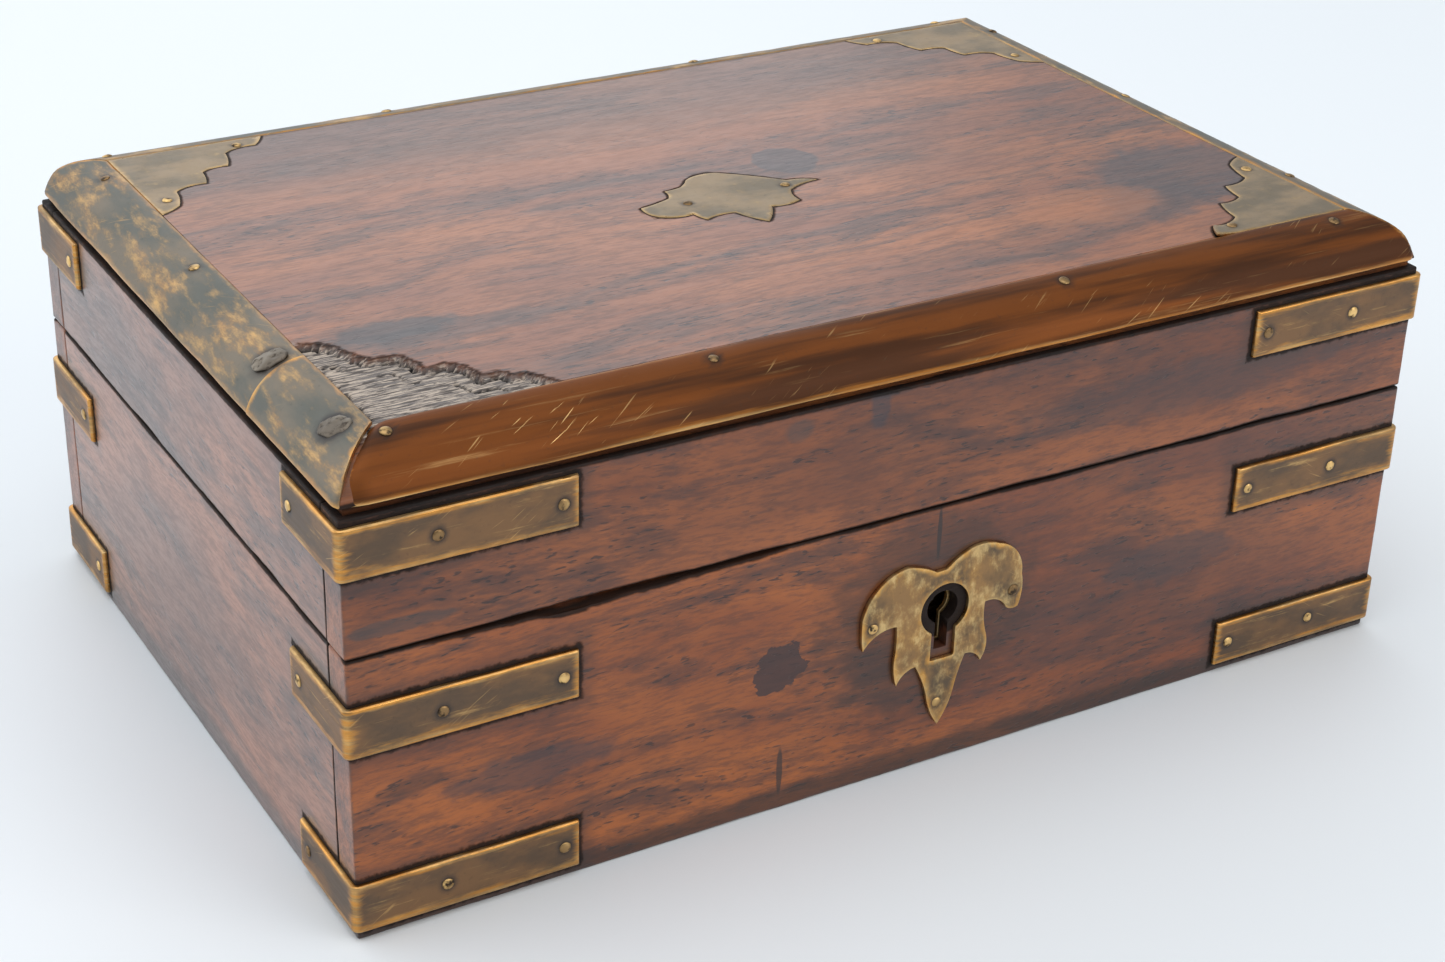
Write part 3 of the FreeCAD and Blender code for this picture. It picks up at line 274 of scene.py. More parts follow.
def waxed_teak(name, turn, light, deep, dark, stains_and_shade=(), shift=(0, 0, 0), strapped=False, worn=0.5,
               gloss=(0.30, 0.50), torn=False, polish=1.4):
    """Oiled and waxed teak. turn lays the grain along a board; each stain or patch of painted shade is
    (centre, size, colour, strength, ragged, soft)."""
    material, net, shader = new_material(name)
    here = net.put("ShaderNodeTexCoord")["Object"]
    laid = net.laid(here, (1, 1, 1), turn, shift)
    figure = net.group(teak_figure, {"Vector": laid})
    colour = net.tint(net.fade(figure["Patch"], 0.35, 0.65), light, deep)
    colour = net.tint(net.fade(figure["Streak"], 0.44, 0.66, 0.0, 0.75), colour, dark)
    colour = net.tint(net.times(net.fade(figure["Fibre"], 0.42, 0.62), 0.45), colour, dark)
    colour = net.tint(net.times(figure["Pore"], 0.75), colour, (0.022, 0.016, 0.018))
    wide = net.cloud(laid, (5, 16, 16), detail=3)
    colour = net.tint(net.fade(wide, 0.50, 0.66, 0.0, 0.42), colour, dark)
    for centre, size, shade, strength, ragged, soft in stains_and_shade:
        wires = {"Vector": here, "Centre": centre, "Size": size, "Ragged": ragged, "Soft": soft}
        colour = net.tint(net.times(net.group(stain, wires)["Mask"], strength), colour, shade)
    # Handling rubs the arrises pale, and dirt fills what it can't reach. The same darkening also paints
    # shade: in the seam, in the keyhole, under the brass edge and round the straps.
    broken = net.cloud(here, (500, 500, 500))
    rubbed = net.fade(net.times(net.read("arris"), broken), 0.30, 0.55)
    colour = net.tint(net.times(rubbed, worn), colour, (0.12, 0.085, 0.068))
    dirt_and_shade = net.fade(net.plus(net.read("grime_and_shade"), net.times(broken, 0.35)), 0.45, 0.95)
    if strapped:
        # Painted shadow round the straps, fading out over 4 mm, with dirt and painted shadow right against the
        # metal.
        near = net.group(strap_dirt, {"Vector": here})
        colour = net.tint(net.times(near["Above"], 0.5), colour, (0.030, 0.022, 0.021))
        dirt_and_shade = net.most(dirt_and_shade, near["Near"])
    # Dirt and painted shade darken the colour.
    colour = net.tint(net.times(dirt_and_shade, 0.92), colour, (0.010, 0.008, 0.007))
    rough = net.plus(net.fade(figure["Fibre"], 0.35, 0.65, *gloss), net.times(dirt_and_shade, 0.25))
    height = net.minus(net.times(figure["Fibre"], 0.5), figure["Pore"])
    dull = dirt_and_shade
    if torn:
        bare = net.read("torn")
        thread = net.cloud(here, (150, 2400, 900), detail=5, rough=0.7)
        flecks = net.cloud(here, (260, 1300, 900))
        straw = net.tint(net.fade(thread, 0.42, 0.56), (0.56, 0.460, 0.370), (0.170, 0.150, 0.140))
        straw = net.tint(net.fade(flecks, 0.50, 0.60), straw, (0.110, 0.092, 0.082))
        colour = net.tint(bare, colour, straw)
        colour = net.tint(net.read("crack"), colour, (0.006, 0.005, 0.005))
        rough = net.most(rough, net.times(bare, 0.8))
        height = net.plus(height, net.times(net.times(thread, bare), 0.9))
        dull = net.most(dirt_and_shade, bare)
    net.wire(shader, {"Base Color": colour, "Roughness": rough, "Specular IOR Level": 0.2,
                      "Normal": net.bump(0.55, 0.00022, height), "Coat Roughness": 0.28,
                      "Coat Weight": net.fade(dull, 0.0, 0.8, 0.85, 0.0), "Coat IOR": polish})
    return material


def stations(low, high, cell, edge, fine=()):
    """Places along one side of a board, close together at the arrises and in each fine stretch,
    which is (start, end, cell)."""
    inner = [low + edge]
    while inner[-1] < high - edge:
        steps = [small for start, end, small in fine if start <= inner[-1] <= end]
        inner.append(inner[-1] + min(steps + [cell]))
    inner[-1] = high - edge
    if len(inner) > 2 and inner[-1] - inner[-2] < 0.3 * cell:
        del inner[-2]
    ramp = [0, 0.3 * edge, 0.65 * edge]
    return [low + part for part in ramp] + inner + [high - part for part in reversed(ramp)]


def board_skin(low, high, cell, edge, fine=((), (), ())):
    """The closed skin of a board as small cells: points and faces."""
    sides = [stations(low[axis], high[axis], cell, edge, fine[axis]) for axis in range(3)]
    last = [len(side) - 1 for side in sides]
    index = {}
    points = []
    faces = []

    def corner(spot):
        if spot not in index:
            index[spot] = len(points)
            points.append([side[number] for side, number in zip(sides, spot)])
        return index[spot]

    for axis in range(3):
        u, v = (axis + 1) % 3, (axis + 2) % 3
        for end in (0, last[axis]):
            for a in range(last[u]):
                for b in range(last[v]):
                    quad = []
                    for step_a, step_b in ((0, 0), (1, 0), (1, 1), (0, 1)):
                        spot = [0, 0, 0]
                        spot[axis], spot[u], spot[v] = end, a + step_a, b + step_b
                        quad.append(corner(tuple(spot)))
                    faces.append(quad if end else quad[::-1])
    return np.array(points), faces


def rumple(points, scale, seed=0.0):
    """Smooth noise from -1 to 1 at each point; scale is how many lumps to a metre on each axis."""
    scale = np.broadcast_to(scale, (3,))
    return np.array([noise.noise(Vector(point)) for point in points * scale + seed])


def round_arrises(points, low, high, radius):
    """Round the edges of a box-shaped skin, by a radius that may differ from point to point."""
    radius = np.broadcast_to(radius, (len(points),))[:, None]
    core = np.clip(points, low + radius, high - radius)
    away = points - core
    length = np.linalg.norm(away, axis=1, keepdims=True)
    return core + away / np.maximum(length, 1e-9) * radius


def new_piece(name, points, faces):
    mesh = bpy.data.meshes.new(name)
    mesh.from_pydata([tuple(point) for point in points], [], faces)
    mesh.update()
    piece = bpy.data.objects.new(name, mesh)
    bpy.context.scene.collection.objects.link(piece)
    return piece


def cad_form(node):
    """A CAD part's mesh with its loose triangles joined up."""
    form = bmesh.new()
    form.from_mesh(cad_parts[node].data)
    bmesh.ops.remove_doubles(form, verts=form.verts, dist=0.003 * MM)
    return form


def cad_mesh(node):
    """A copy of a CAD part's mesh with its flat faces whole again."""
    form = cad_form(node)
    bmesh.ops.dissolve_limit(form, angle_limit=math.radians(1), verts=form.verts, edges=form.edges)
    mesh = bpy.data.meshes.new(node + "_copy")
    form.to_mesh(mesh)
    form.free()
    mesh.materials.clear()
    return mesh


def applied(piece):
    """Make the piece's modifiers real."""
    graph = bpy.context.evaluated_depsgraph_get()
    graph.update()
    mesh = bpy.data.meshes.new_from_object(piece.evaluated_get(graph))
    piece.modifiers.clear()
    piece.data = mesh
    mesh.name = piece.name
    return piece


def keep_joinery(piece, node):
    """Give a board the mortises, inlets and nail holes of its CAD part."""
    tool = bpy.data.objects.new("joinery", cad_mesh(node))
    bpy.context.scene.collection.objects.link(tool)
    trim = piece.modifiers.new("joinery", "BOOLEAN")
    trim.operation = "INTERSECT"
    trim.solver = "EXACT"
    trim.object = tool
    applied(piece)
    bpy.data.objects.remove(tool)


def spots(piece):
    """The points of a piece, one row each."""
    flat = np.zeros(len(piece.data.vertices) * 3)
    piece.data.vertices.foreach_get("co", flat)
    return flat.reshape(-1, 3)


def mark(piece, name, values):
    """Mark a value on each point, for the material to read."""
    layer = piece.data.attributes.new(name, "FLOAT", "POINT")
    layer.data.foreach_set("value", np.asarray(values, dtype=np.float32))


def smooth_off(piece, degrees=35):
    """Smooth shading that stays sharp where faces meet at more than this angle."""
    piece.data.shade_smooth()
    piece.data.set_sharp_from_angle(angle=math.radians(degrees))


def arris_wear(points, low, high, reach):
    """1 on the arrises of a box, 0 further from them than reach."""
    gaps = np.sort(np.minimum(points - low, high - points), axis=1)
    return np.clip(1 - gaps[:, 1] / reach, 0, 1)


def notch_depth(points, axis, chips):
    """How deep the seam edge is broken along a board; each chip is (middle, half length, depth)."""
    along = points[:, 1 - axis]
    depth = np.zeros(len(points))
    for middle, half, deep in chips:
        run = np.clip(1 - np.abs(along - middle * MM) / (half * MM), 0, 1)
        depth = np.maximum(depth, deep * MM * np.sqrt(run))
    lie = np.zeros((len(points), 3))
    lie[:, 0] = along
    return depth * np.clip(0.80 + 0.55 * rumple(lie, 130, 2.2) + 0.25 * rumple(lie, 700, 6.2), 0.1, 1.3)


def chip_seam(points, seam_z, face, chips, downward):
    """Break splinters from a seam edge; face is the axis, side and place of the outer face."""
    axis, sign, plane = face
    inward = np.abs(points[:, axis] - plane)
    off_seam = np.abs(points[:, 2] - seam_z)
    depth = notch_depth(points, axis, chips) * np.clip(1 - inward / (3.2 * MM), 0, 1) ** 0.7
    moved = points.copy()
    fall = np.clip(1 - off_seam / (1.4 * MM), 0, 1)
    moved[:, 2] += (-1 if downward else 1) * depth * fall
    moved[:, axis] -= sign * 0.35 * depth * fall
    return moved


def worn_board(name, node, cell, arris, seed, fine=((), (), ()), seam=None, chips=()):
    """A board with its joinery, its arrises worn round and its seam edge chipped."""
    low, high = (np.array(corner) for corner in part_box(node))
    low, high = low + 0.02 * MM, high - 0.02 * MM
    points, faces = board_skin(low, high, cell, arris, fine)
    uneven = 0.62 + 0.30 * rumple(points, 90, seed) + 0.12 * rumple(points, 420, seed)
    shaped = round_arrises(points, low, high, arris * np.clip(uneven, 0.25, 1))
    if seam:
        seam_z, face, downward = seam
        shaped = chip_seam(shaped, seam_z, face, chips, downward)
    centre = (low + high) / 2
    dips = 0.05 * MM * (rumple(points, 45, seed + 7) - 0.6) + 0.025 * MM * rumple(points, 260, seed)
    outward = np.sign(shaped - centre) * (np.minimum(shaped - low, high - shaped) < 0.1 * MM)
    shaped = np.clip(shaped + outward * np.minimum(dips, 0)[:, None], low, high)
    piece = new_piece(name, shaped, faces)
    keep_joinery(piece, node)
    smooth_off(piece)
    there = spots(piece)
    mark(piece, "arris", arris_wear(there, low, high, 1.6 * MM))
    return piece, there, low, high


def seam_dirt_and_shade(there, seam_z, face, chips, reach):
    """Dirt and painted shade along a chipped seam edge, on the outer part of the board only."""
    notch = notch_depth(there, face[0], chips)
    inward = np.abs(there[:, face[0]] - face[2])
    near = np.clip(1 - (np.abs(there[:, 2] - seam_z) - notch) / reach, 0, 1)
    return near * np.clip(1.3 - inward / (3 * MM), 0, 1)


def fitted(piece, body, node, finish=None):
    """Finish a piece, make it move with its body, and hide the CAD part it stands for."""
    if finish:
        piece.data.materials.clear()
        piece.data.materials.append(finish)
    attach(piece, body)
    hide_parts(node)


ALONG_X = (0, 0, 0)
ALONG_Y = (0, 0, math.radians(90))
teak_light = (0.415, 0.116, 0.023)
teak_deep = (0.225, 0.057, 0.017)
teak_dark = (0.050, 0.027, 0.026)
front_stains_and_shadow = [
    ((-0.0338, -0.0835, 0.0335), (0.0064, 0.01, 0.0044), (0.045, 0.022, 0.022), 0.9, 1.1, 0.05),
    # This second entry is a painted shadow: a dark halo round the keyhole plate.
    ((0.0020, -0.0835, 0.0360), (0.0200, 0.01, 0.0175), (0.030, 0.018, 0.015), 0.6, 0.5, 0.6),
    ((0.064, -0.0835, 0.033), (0.012, 0.01, 0.004), (0.050, 0.034, 0.036), 0.55, 0.8, 0.5),
    ((-0.0325, -0.0835, 0.009), (0.0006, 0.01, 0.0045), (0.030, 0.020, 0.018), 0.8, 0.3, 0.4),
    ((0.0030, -0.0835, 0.0545), (0.0004, 0.01, 0.0045), (0.020, 0.014, 0.014), 0.85, 0.1, 0.6),
    ((-0.112, -0.0835, 0.031), (0.006, 0.01, 0.0014), (0.035, 0.020, 0.018), 0.4, 0.6, 0.3),
    ((-0.088, -0.0835, 0.027), (0.013, 0.01, 0.003), (0.045, 0.034, 0.040), 0.6, 0.8, 0.6),
    # This last entry makes the board darker along its bottom edge.
    ((0.0, -0.0835, 0.0), (0.14, 0.01, 0.0035), (0.020, 0.014, 0.013), 0.75, 0.4, 0.8),
]
# Darker bands along the bottom edges of the end boards and the back board.
bottom_bands = [
    ((-0.124, 0.02, 0.0), (0.01, 0.09, 0.004), (0.020, 0.014, 0.013), 0.7, 0.4, 0.8),
    ((0.124, 0.02, 0.0), (0.01, 0.09, 0.004), (0.020, 0.014, 0.013), 0.7, 0.4, 0.8),
    ((0.0, 0.0835, 0.0), (0.14, 0.01, 0.0035), (0.020, 0.014, 0.013), 0.75, 0.4, 0.8),
]
long_board_teak = waxed_teak("waxed_teak_long_boards", ALONG_X, teak_light, teak_deep, teak_dark,
                             front_stains_and_shadow + bottom_bands, strapped=True)
# The short boards at the ends get greyer colours than the long boards. This is a painted reflection of the
# bright room on the left side, laid over the teak's own colour.
sheen_grey_light = (0.370, 0.130, 0.058)
sheen_grey_deep = (0.210, 0.082, 0.046)
sheen_grey_dark = (0.060, 0.038, 0.034)
short_board_sheen_teak = waxed_teak("waxed_teak_short_boards", ALONG_Y, sheen_grey_light, sheen_grey_deep, sheen_grey_dark,
                              bottom_bands, shift=(0.4, 0.1, 0.3), strapped=True, polish=1.55)
bottom_teak = waxed_teak("bare_teak_bottom", ALONG_X, (0.17, 0.080, 0.042), (0.11, 0.055, 0.034),
                         (0.045, 0.030, 0.024), gloss=(0.6, 0.8), shift=(0.7, 0.3, 0.9))

seam_z = body_high.z
front_chips = [(-76, 24, 1.9), (-100, 9, 0.6), (-47, 15, 1.1), (-14, 8, 0.35), (30, 12, 0.3),
               (70, 10, 0.4), (104, 12, 0.3)]
back_chips = front_chips[3:]
side_chips = [(-66, 9, 0.7), (-46, 7, 0.5), (-20, 10, 0.3), (20, 8, 0.35), (60, 10, 0.3)]
keyhole_x, keyhole_z = 0.005, 0.037
plate_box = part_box("escutcheon")
round_keyhole = ([(plate_box[0].x - 3 * MM, plate_box[1].x + 3 * MM, 0.8 * MM)], (), [(0, 0.058, 0.9 * MM)])
for name, node, teak, cell, arris, seed, face, chips in (
        ("front_board", "base_front_board", long_board_teak, 1.6, 0.9, 3.0, (1, -1, body_low.y), front_chips),
        ("back_board", "base_back_board", long_board_teak, 2.0, 0.8, 11.0, (1, 1, -body_low.y), back_chips),
        ("left_board", "base_left_board", short_board_sheen_teak, 2.0, 0.8, 17.0, (0, -1, body_low.x), side_chips),
        ("right_board", "base_right_board", short_board_sheen_teak, 2.0, 0.8, 23.0, (0, 1, body_high.x),
         side_chips)):
    fine = round_keyhole if name == "front_board" else ((), (), ())
    board, there, low, high = worn_board(name, node, cell * MM, arris * MM, seed, fine=fine,
                                         seam=(seam_z, face, True), chips=chips)
    grime_and_shade = seam_dirt_and_shade(there, seam_z, face, chips, 1.1 * MM)
    if name == "front_board":
        # Painted shade inside the keyhole: the board is darkened within 7.5 mm of its middle, where only the
        # keyhole shows past the plate.
        from_keyhole = np.hypot(there[:, 0] - keyhole_x, there[:, 2] - keyhole_z)
        keyhole_shade = np.clip((7.5 * MM - from_keyhole) / (1.5 * MM), 0, 1)
        grime_and_shade = np.maximum(grime_and_shade, keyhole_shade)
    if teak is short_board_sheen_teak:
        grime_and_shade = np.maximum(grime_and_shade, np.clip(1 - (high[1] - np.abs(there[:, 1])) / (0.8 * MM), 0, 1))
    mark(board, "grime_and_shade", grime_and_shade)
    fitted(board, "base", node, teak)

board, there, low, high = worn_board("bottom_board", "base_bottom_board", 4.0 * MM, 0.4 * MM, 29.0)
mark(board, "grime_and_shade", np.zeros(len(there)))
fitted(board, "base", "base_bottom_board", bottom_teak)

# ---- corner straps --------------------------------------------------------------------------
# Twelve straps of 1 mm brass, cut by hand and folded round the corners in three tiers, each held
# by three small brass nails. The metal has gone brown, and handling keeps its edges and folds gold.
net, given, result = new_group(
    "old_brass",
    [("Run", "Vector", None), ("Rim", "Float", 5.0), ("Halo", "Float", 0.0), ("Rub", "Float", 0.5),
     ("Bright", "Color", (0.88, 0.56, 0.22, 1)), ("Golden", "Color", (0.68, 0.305, 0.066, 1)),
     ("Brown", "Color", (0.215, 0.115, 0.053, 1)), ("Olive", "Color", (0.115, 0.074, 0.046, 1)),
     ("Grain", "Vector", (45, 1300, 1300)), ("Mottle", "Vector", (60, 110, 110)),
     ("Patch", "Vector", (90, 300, 300)), ("Rim Width", "Float", 1.0), ("Score", "Float", 0.0)],
    [("Colour", "Color"), ("Rough", "Float"), ("Metal", "Float"), ("Height", "Float")])
old_brass = net
run = given["Run"]
brushed = net.cloud(run, given["Grain"], rough=0.7)
patchy = net.cloud(run, given["Patch"], detail=5, rough=0.65)
mixed = net.plus(net.times(brushed, 0.5), net.times(patchy, 0.5))
fine = net.cloud(run, (900, 900, 900), detail=3)
base = net.tint(net.fade(net.cloud(run, given["Mottle"]), 0.38, 0.62), given["Brown"], given["Olive"])
base = net.tint(net.fade(fine, 0.58, 0.74, 0.0, 0.22), base, (0.045, 0.034, 0.025))
threshold = net.minus(0.72, net.times(given["Rub"], 0.26))
rubbed = net.fade(net.minus(mixed, threshold), -0.07, 0.17, 0.0, 0.85)
# Fine scratches lean at two angles and gather in a few places.
steep = net.cloud(net.laid(run, (1, 1, 1), (0, 0, 0.62)), (55, 1700, 1), detail=2)
cross = net.cloud(net.laid(run, (1, 1, 1), (0, 0, 0.48)), (75, 2300, 1), detail=2)
where = net.fade(net.cloud(run, (90, 90, 90), detail=2), 0.50, 0.62)
where = net.most(net.times(where, 0.35), given["Score"])
scored = net.times(net.most(net.fade(steep, 0.67, 0.71), net.fade(cross, 0.68, 0.72)), where)
# Edges and folds are rubbed gold, and the brightest line right at the edge is also a painted
# highlight; nails have a dark ring round them.
wavy = net.times(net.minus(mixed, 0.44), 6.0)
edge = net.plus(net.calc("DIVIDE", given["Rim"], given["Rim Width"]), wavy)
gold = net.most(rubbed, net.times(net.fade(edge, 0.0, 1.7, 1.0, 0.0), 0.95))
golden = net.tint(net.fade(brushed, 0.42, 0.62), given["Golden"], given["Bright"])
colour = net.tint(gold, base, golden)
# Painted highlight along the very edge, over the rubbed gold.
colour = net.tint(net.times(net.fade(edge, -0.6, 0.5, 1.0, 0.0), 0.42), colour, given["Bright"])
colour = net.tint(net.times(scored, 0.8), colour, given["Bright"])
ring = net.times(given["Halo"], net.fade(fine, 0.25, 0.55, 0.75, 1.0))
bare = net.most(gold, scored)
rough = net.plus(net.fade(bare, 0.0, 1.0, 0.46, 0.30), net.times(net.minus(brushed, 0.5), 0.25))
height = net.plus(net.times(brushed, 0.7), net.times(patchy, 0.8))
net.wire(result, {"Colour": net.tint(ring, colour, (0.030, 0.022, 0.018)), "Rough": rough,
                  "Metal": net.fade(net.minus(bare, ring), -0.5, 1.0, 0.35, 1.0),
                  "Height": net.minus(height, net.times(scored, 0.5))})


def aged_brass(name, bump=0.5, **looks):
    """Old brass. looks gives the inputs of the brass group their own values."""
    material, net, shader = new_material(name)
    wires = {word.title(): net.read(word) for word in ("rim", "halo", "score")}
    wires["Run"] = net.put("ShaderNodeAttribute", attribute_name="run")["Vector"]
    for word, value in looks.items():
        is_colour = word in ("bright", "golden", "brown", "olive")
        wires[word.replace("_", " ").title()] = (*value, 1) if is_colour else value
    brass = net.group(old_brass, wires)
    net.wire(shader, {"Base Color": brass["Colour"], "Roughness": brass["Rough"],
                      "Metallic": brass["Metal"], "Normal": net.bump(bump, 0.00012, brass["Height"])})
    return material


strap_brass = aged_brass("strap_brass", rub=0.42, rim_width=1.3, bump=0.35)


def mark_run(piece, values):
    """Mark where each point lies on the sheet, so the brushing follows the metal round."""
    layer = piece.data.attributes.new("run", "FLOAT_VECTOR", "POINT")
    layer.data.foreach_set("vector", np.asarray(values, dtype=np.float32).ravel())


def nail_places(node, axis=None):
    """Where each nail or screw of a CAD part has its head, and which way the head faces."""
    form = cad_form(node)
    form.verts.ensure_lookup_table()
    seen = set()
    places = []
    for start in form.verts:
        if start.index in seen:
            continue
        island = []
        stack = [start]
        seen.add(start.index)
        while stack:
            vertex = stack.pop()
            island.append(tuple(vertex.co))
            for edge in vertex.link_edges:
                other = edge.other_vert(vertex)
                if other.index not in seen:
                    seen.add(other.index)
                    stack.append(other)
        island = np.array(island)
        middle = island.mean(0)
        line = np.array(axis, float) if axis else np.linalg.svd(island - middle)[2][0]
        along = (island - middle) @ line
        off_axis = island - middle - along[:, None] * line
        off_axis = np.linalg.norm(off_axis - off_axis.mean(0), axis=1)
        if off_axis[along > 0].max() < off_axis[along < 0].max():
            line, along = -line, -along
        ends = island[(along > along.max() - 1.2 * MM) & (off_axis > 0.4 * off_axis.max())]
        rim = ends.mean(0)
        head = rim + line * (along.max() - (rim - middle) @ line)
        places.append((head, line))
    form.free()
    order = sorted(range(len(places)), key=lambda number: tuple(np.round(places[number][0], 5)))
    return [places[number] for number in order]


base_nails = nail_places("base_strap_nails")
lid_nails = nail_places("lid_strap_nails")
strap_nail_heads = np.array([head for head, _ in base_nails + lid_nails])


def nail_halo(points, heads, inner, outer):
    """1 close round a nail, 0 beyond the outer distance."""
    nearest = np.linalg.norm(points[:, None] - heads[None], axis=2).min(1)
    return np.clip((outer - nearest) / (outer - inner), 0, 1)


def bar_faces(rows, ring):
    """The faces of a bar whose ring of section points is repeated row after row."""
    faces = []
    for row in range(rows - 1):
        for column in range(ring):
            a = row * ring + column
            b = row * ring + (column + 1) % ring
            faces.append((a, b, b + ring, a + ring))
    faces.append(tuple(range(ring))[::-1])
    faces.append(tuple(range((rows - 1) * ring, rows * ring)))
    return faces


def fold_strap(name, node, seed):
    """An L of strap: its ring of section points is carried along the legs and round the fold."""
    low, high = (np.array(corner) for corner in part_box(node))
    side_x = 1 if low[0] > 0 else -1
    side_y = 1 if low[1] > 0 else -1
    outer = np.array([high[0] if side_x > 0 else -low[0], high[1] if side_y > 0 else -low[1]])
    end_x = low[0] if side_x > 0 else -high[0]
    end_y = low[1] if side_y > 0 else -high[1]
    thick = outer[0] - body_high.x
    tall = high[2] - low[2]
    bend = 1.5 * MM
    step = 0.6 * MM
    ends = [0, 0.10 * MM, 0.32 * MM]
    long_leg = outer[0] - bend - end_x
    short_leg = outer[1] - bend - end_y
    arc = bend * math.pi / 2
    total = long_leg + arc + short_leg
    places = ends + list(np.arange(0.8 * MM, total - 0.7 * MM, step))
    places += [total - end for end in reversed(ends)]
    section = [(0.0, 0.55), (0.10, 0.84), (0.32, 1.0)]
    section += [(part, 1.0) for part in np.arange(0.9, tall / MM - 0.6, 0.72)]
    section += [(tall / MM - part, share) for part, share in ((0.32, 1.0), (0.10, 0.84), (0.0, 0.55))]
    points, rims, runs = [], [], []
    for place in places:
        if place < long_leg:
            spot = np.array([end_x + place, outer[1]])
            out = np.array([0.0, 1.0])
        elif place < long_leg + arc:
            angle = (place - long_leg) / bend
            out = np.array([math.sin(angle), math.cos(angle)])
            spot = outer - bend + out * bend
        else:
            out = np.array([1.0, 0.0])
            spot = np.array([outer[0], outer[1] - bend - (place - long_leg - arc)])
        from_end = min(place, total - place)
        tuck = 0.55 if from_end == 0 else 0.84 if from_end < 0.2 * MM else 1.0
        sway = 0.13 * MM * noise.noise(Vector((place * 90, seed, 0)))
        sway_top = 0.13 * MM * noise.noise(Vector((place * 90, seed, 5)))
        fold = abs(place - long_leg - arc / 2)
        for index, (up, share) in enumerate([(0.0, None)] + section + [(tall / MM, None)]):
            lift = low[2] + up * MM + sway + (sway_top - sway) * up * MM / tall
            dent = 0.05 * MM * noise.noise(Vector((place * 130, up * 0.13, seed + 9)))
            depth = thick - 0.02 * MM if share is None else thick * (1 - share * tuck) - min(dent, 0) * share
            if share is not None and not 0.3 < up < tall / MM - 0.3:
                depth = thick * (1 - share * tuck)
            flat = spot - out * depth
            points.append((flat[0] * side_x, flat[1] * side_y, lift))
            rim = min(up * MM * 0.8, (tall - up * MM) * 1.3, from_end, fold * 0.7 + 0.2 * MM)
            rims.append(rim / MM)
            runs.append((place + seed * 0.13, up * MM, seed * 0.05))
    faces = bar_faces(len(places), len(section) + 2)
    if side_x * side_y > 0:
        faces = [face[::-1] for face in faces]
    piece = new_piece(name, points, faces)
    smooth_off(piece, 40)
    mark(piece, "rim", rims)
    mark(piece, "halo", nail_halo(spots(piece), strap_nail_heads, 1.25 * MM, 2.3 * MM))
    mark_run(piece, runs)
    return piece


strap_nodes = [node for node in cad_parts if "_strap_" in node and "nails" not in node]
for number, node in enumerate(sorted(strap_nodes)):
    strap = fold_strap(node.replace("_strap_", "_corner_strap_"), node, 1.0 + number * 3.7)
    fitted(strap, node.split("_")[0], node, strap_brass)

# ---- small brass nails ----------------------------------------------------------------------
# Round-headed brass pins, driven through the straps into the boards. Their heads are filed low
# and rubbed bright. One tree drives every kind of nail: a dome on a shank at each place.


def lowered(net, mesh, height):
    """A mesh moved along its own axis."""
    move = net.put("ShaderNodeCombineXYZ", {"Z": height})[0]
    return net.put("GeometryNodeTransform", {"Geometry": mesh, "Translation": move})["Geometry"]


def driven(net, given, parts, whole_turn, size=None):
    """Stand the joined parts at every place, aimed along its direction and spun by chance."""
    whole = net.tree.nodes.new("GeometryNodeJoinGeometry")
    for part in parts:
        net.tree.links.new(part, whole.inputs[0])
    aim = net.put("GeometryNodeInputNamedAttribute", {"Name": "aim"}, data_type="FLOAT_VECTOR")[0]
    aim = net.put("FunctionNodeAlignRotationToVector", {"Vector": aim}, axis="Z")[0]
    spin = net.put("FunctionNodeRandomValue", {2: 0.0, 3: whole_turn, "Seed": given["Seed"]},
                   data_type="FLOAT")[1]
    spin = net.put("FunctionNodeAxisAngleToRotation", {"Axis": (0, 0, 1), "Angle": spin})[0]
    aim = net.put("FunctionNodeRotateRotation", {"Rotation": aim, "Rotate By": spin},
                  rotation_space="LOCAL")[0]
    wires = {"Points": given["Places"], "Instance": whole.outputs[0], "Rotation": aim}
    if size:
        wires["Scale"] = size
    placed = net.put("GeometryNodeInstanceOnPoints", wires)["Instances"]
    return net.put("GeometryNodeRealizeInstances", {"Geometry": placed})["Geometry"]


net, given, result = new_group(
    "driven_nails",
    [("Places", "Geometry", None), ("Head Radius", "Float", 0.0013), ("Head Height", "Float", 0.0004),
     ("Shank Radius", "Float", 0.0005), ("Shank Length", "Float", 0.006), ("Narrow", "Float", 1.0),
     ("Ragged", "Float", 0.0001), ("Seed", "Int", 3), ("Finish", "Material", None)],
    [("Nails", "Geometry")], "GeometryNodeTree")
nail_tree = net.tree
dome = net.put("GeometryNodeMeshUVSphere", {"Segments": 20, "Rings": 12, "Radius": 1.0})["Mesh"]
across = net.times(given["Head Radius"], given["Narrow"])
shape = net.put("ShaderNodeCombineXYZ",
                {"X": given["Head Radius"], "Y": across, "Z": given["Head Height"]})[0]
head = net.put("GeometryNodeTransform", {"Geometry": dome, "Scale": shape})["Geometry"]
shank = net.put("GeometryNodeMeshCylinder",
                {"Vertices": 8, "Radius": given["Shank Radius"], "Depth": given["Shank Length"]})["Mesh"]
shank = lowered(net, shank, net.times(given["Shank Length"], -0.5))
size = net.put("FunctionNodeRandomValue", {2: 0.90, 3: 1.06, "Seed": given["Seed"]}, data_type="FLOAT")[1]
nails = driven(net, given, (shank, head), 6.283, size)
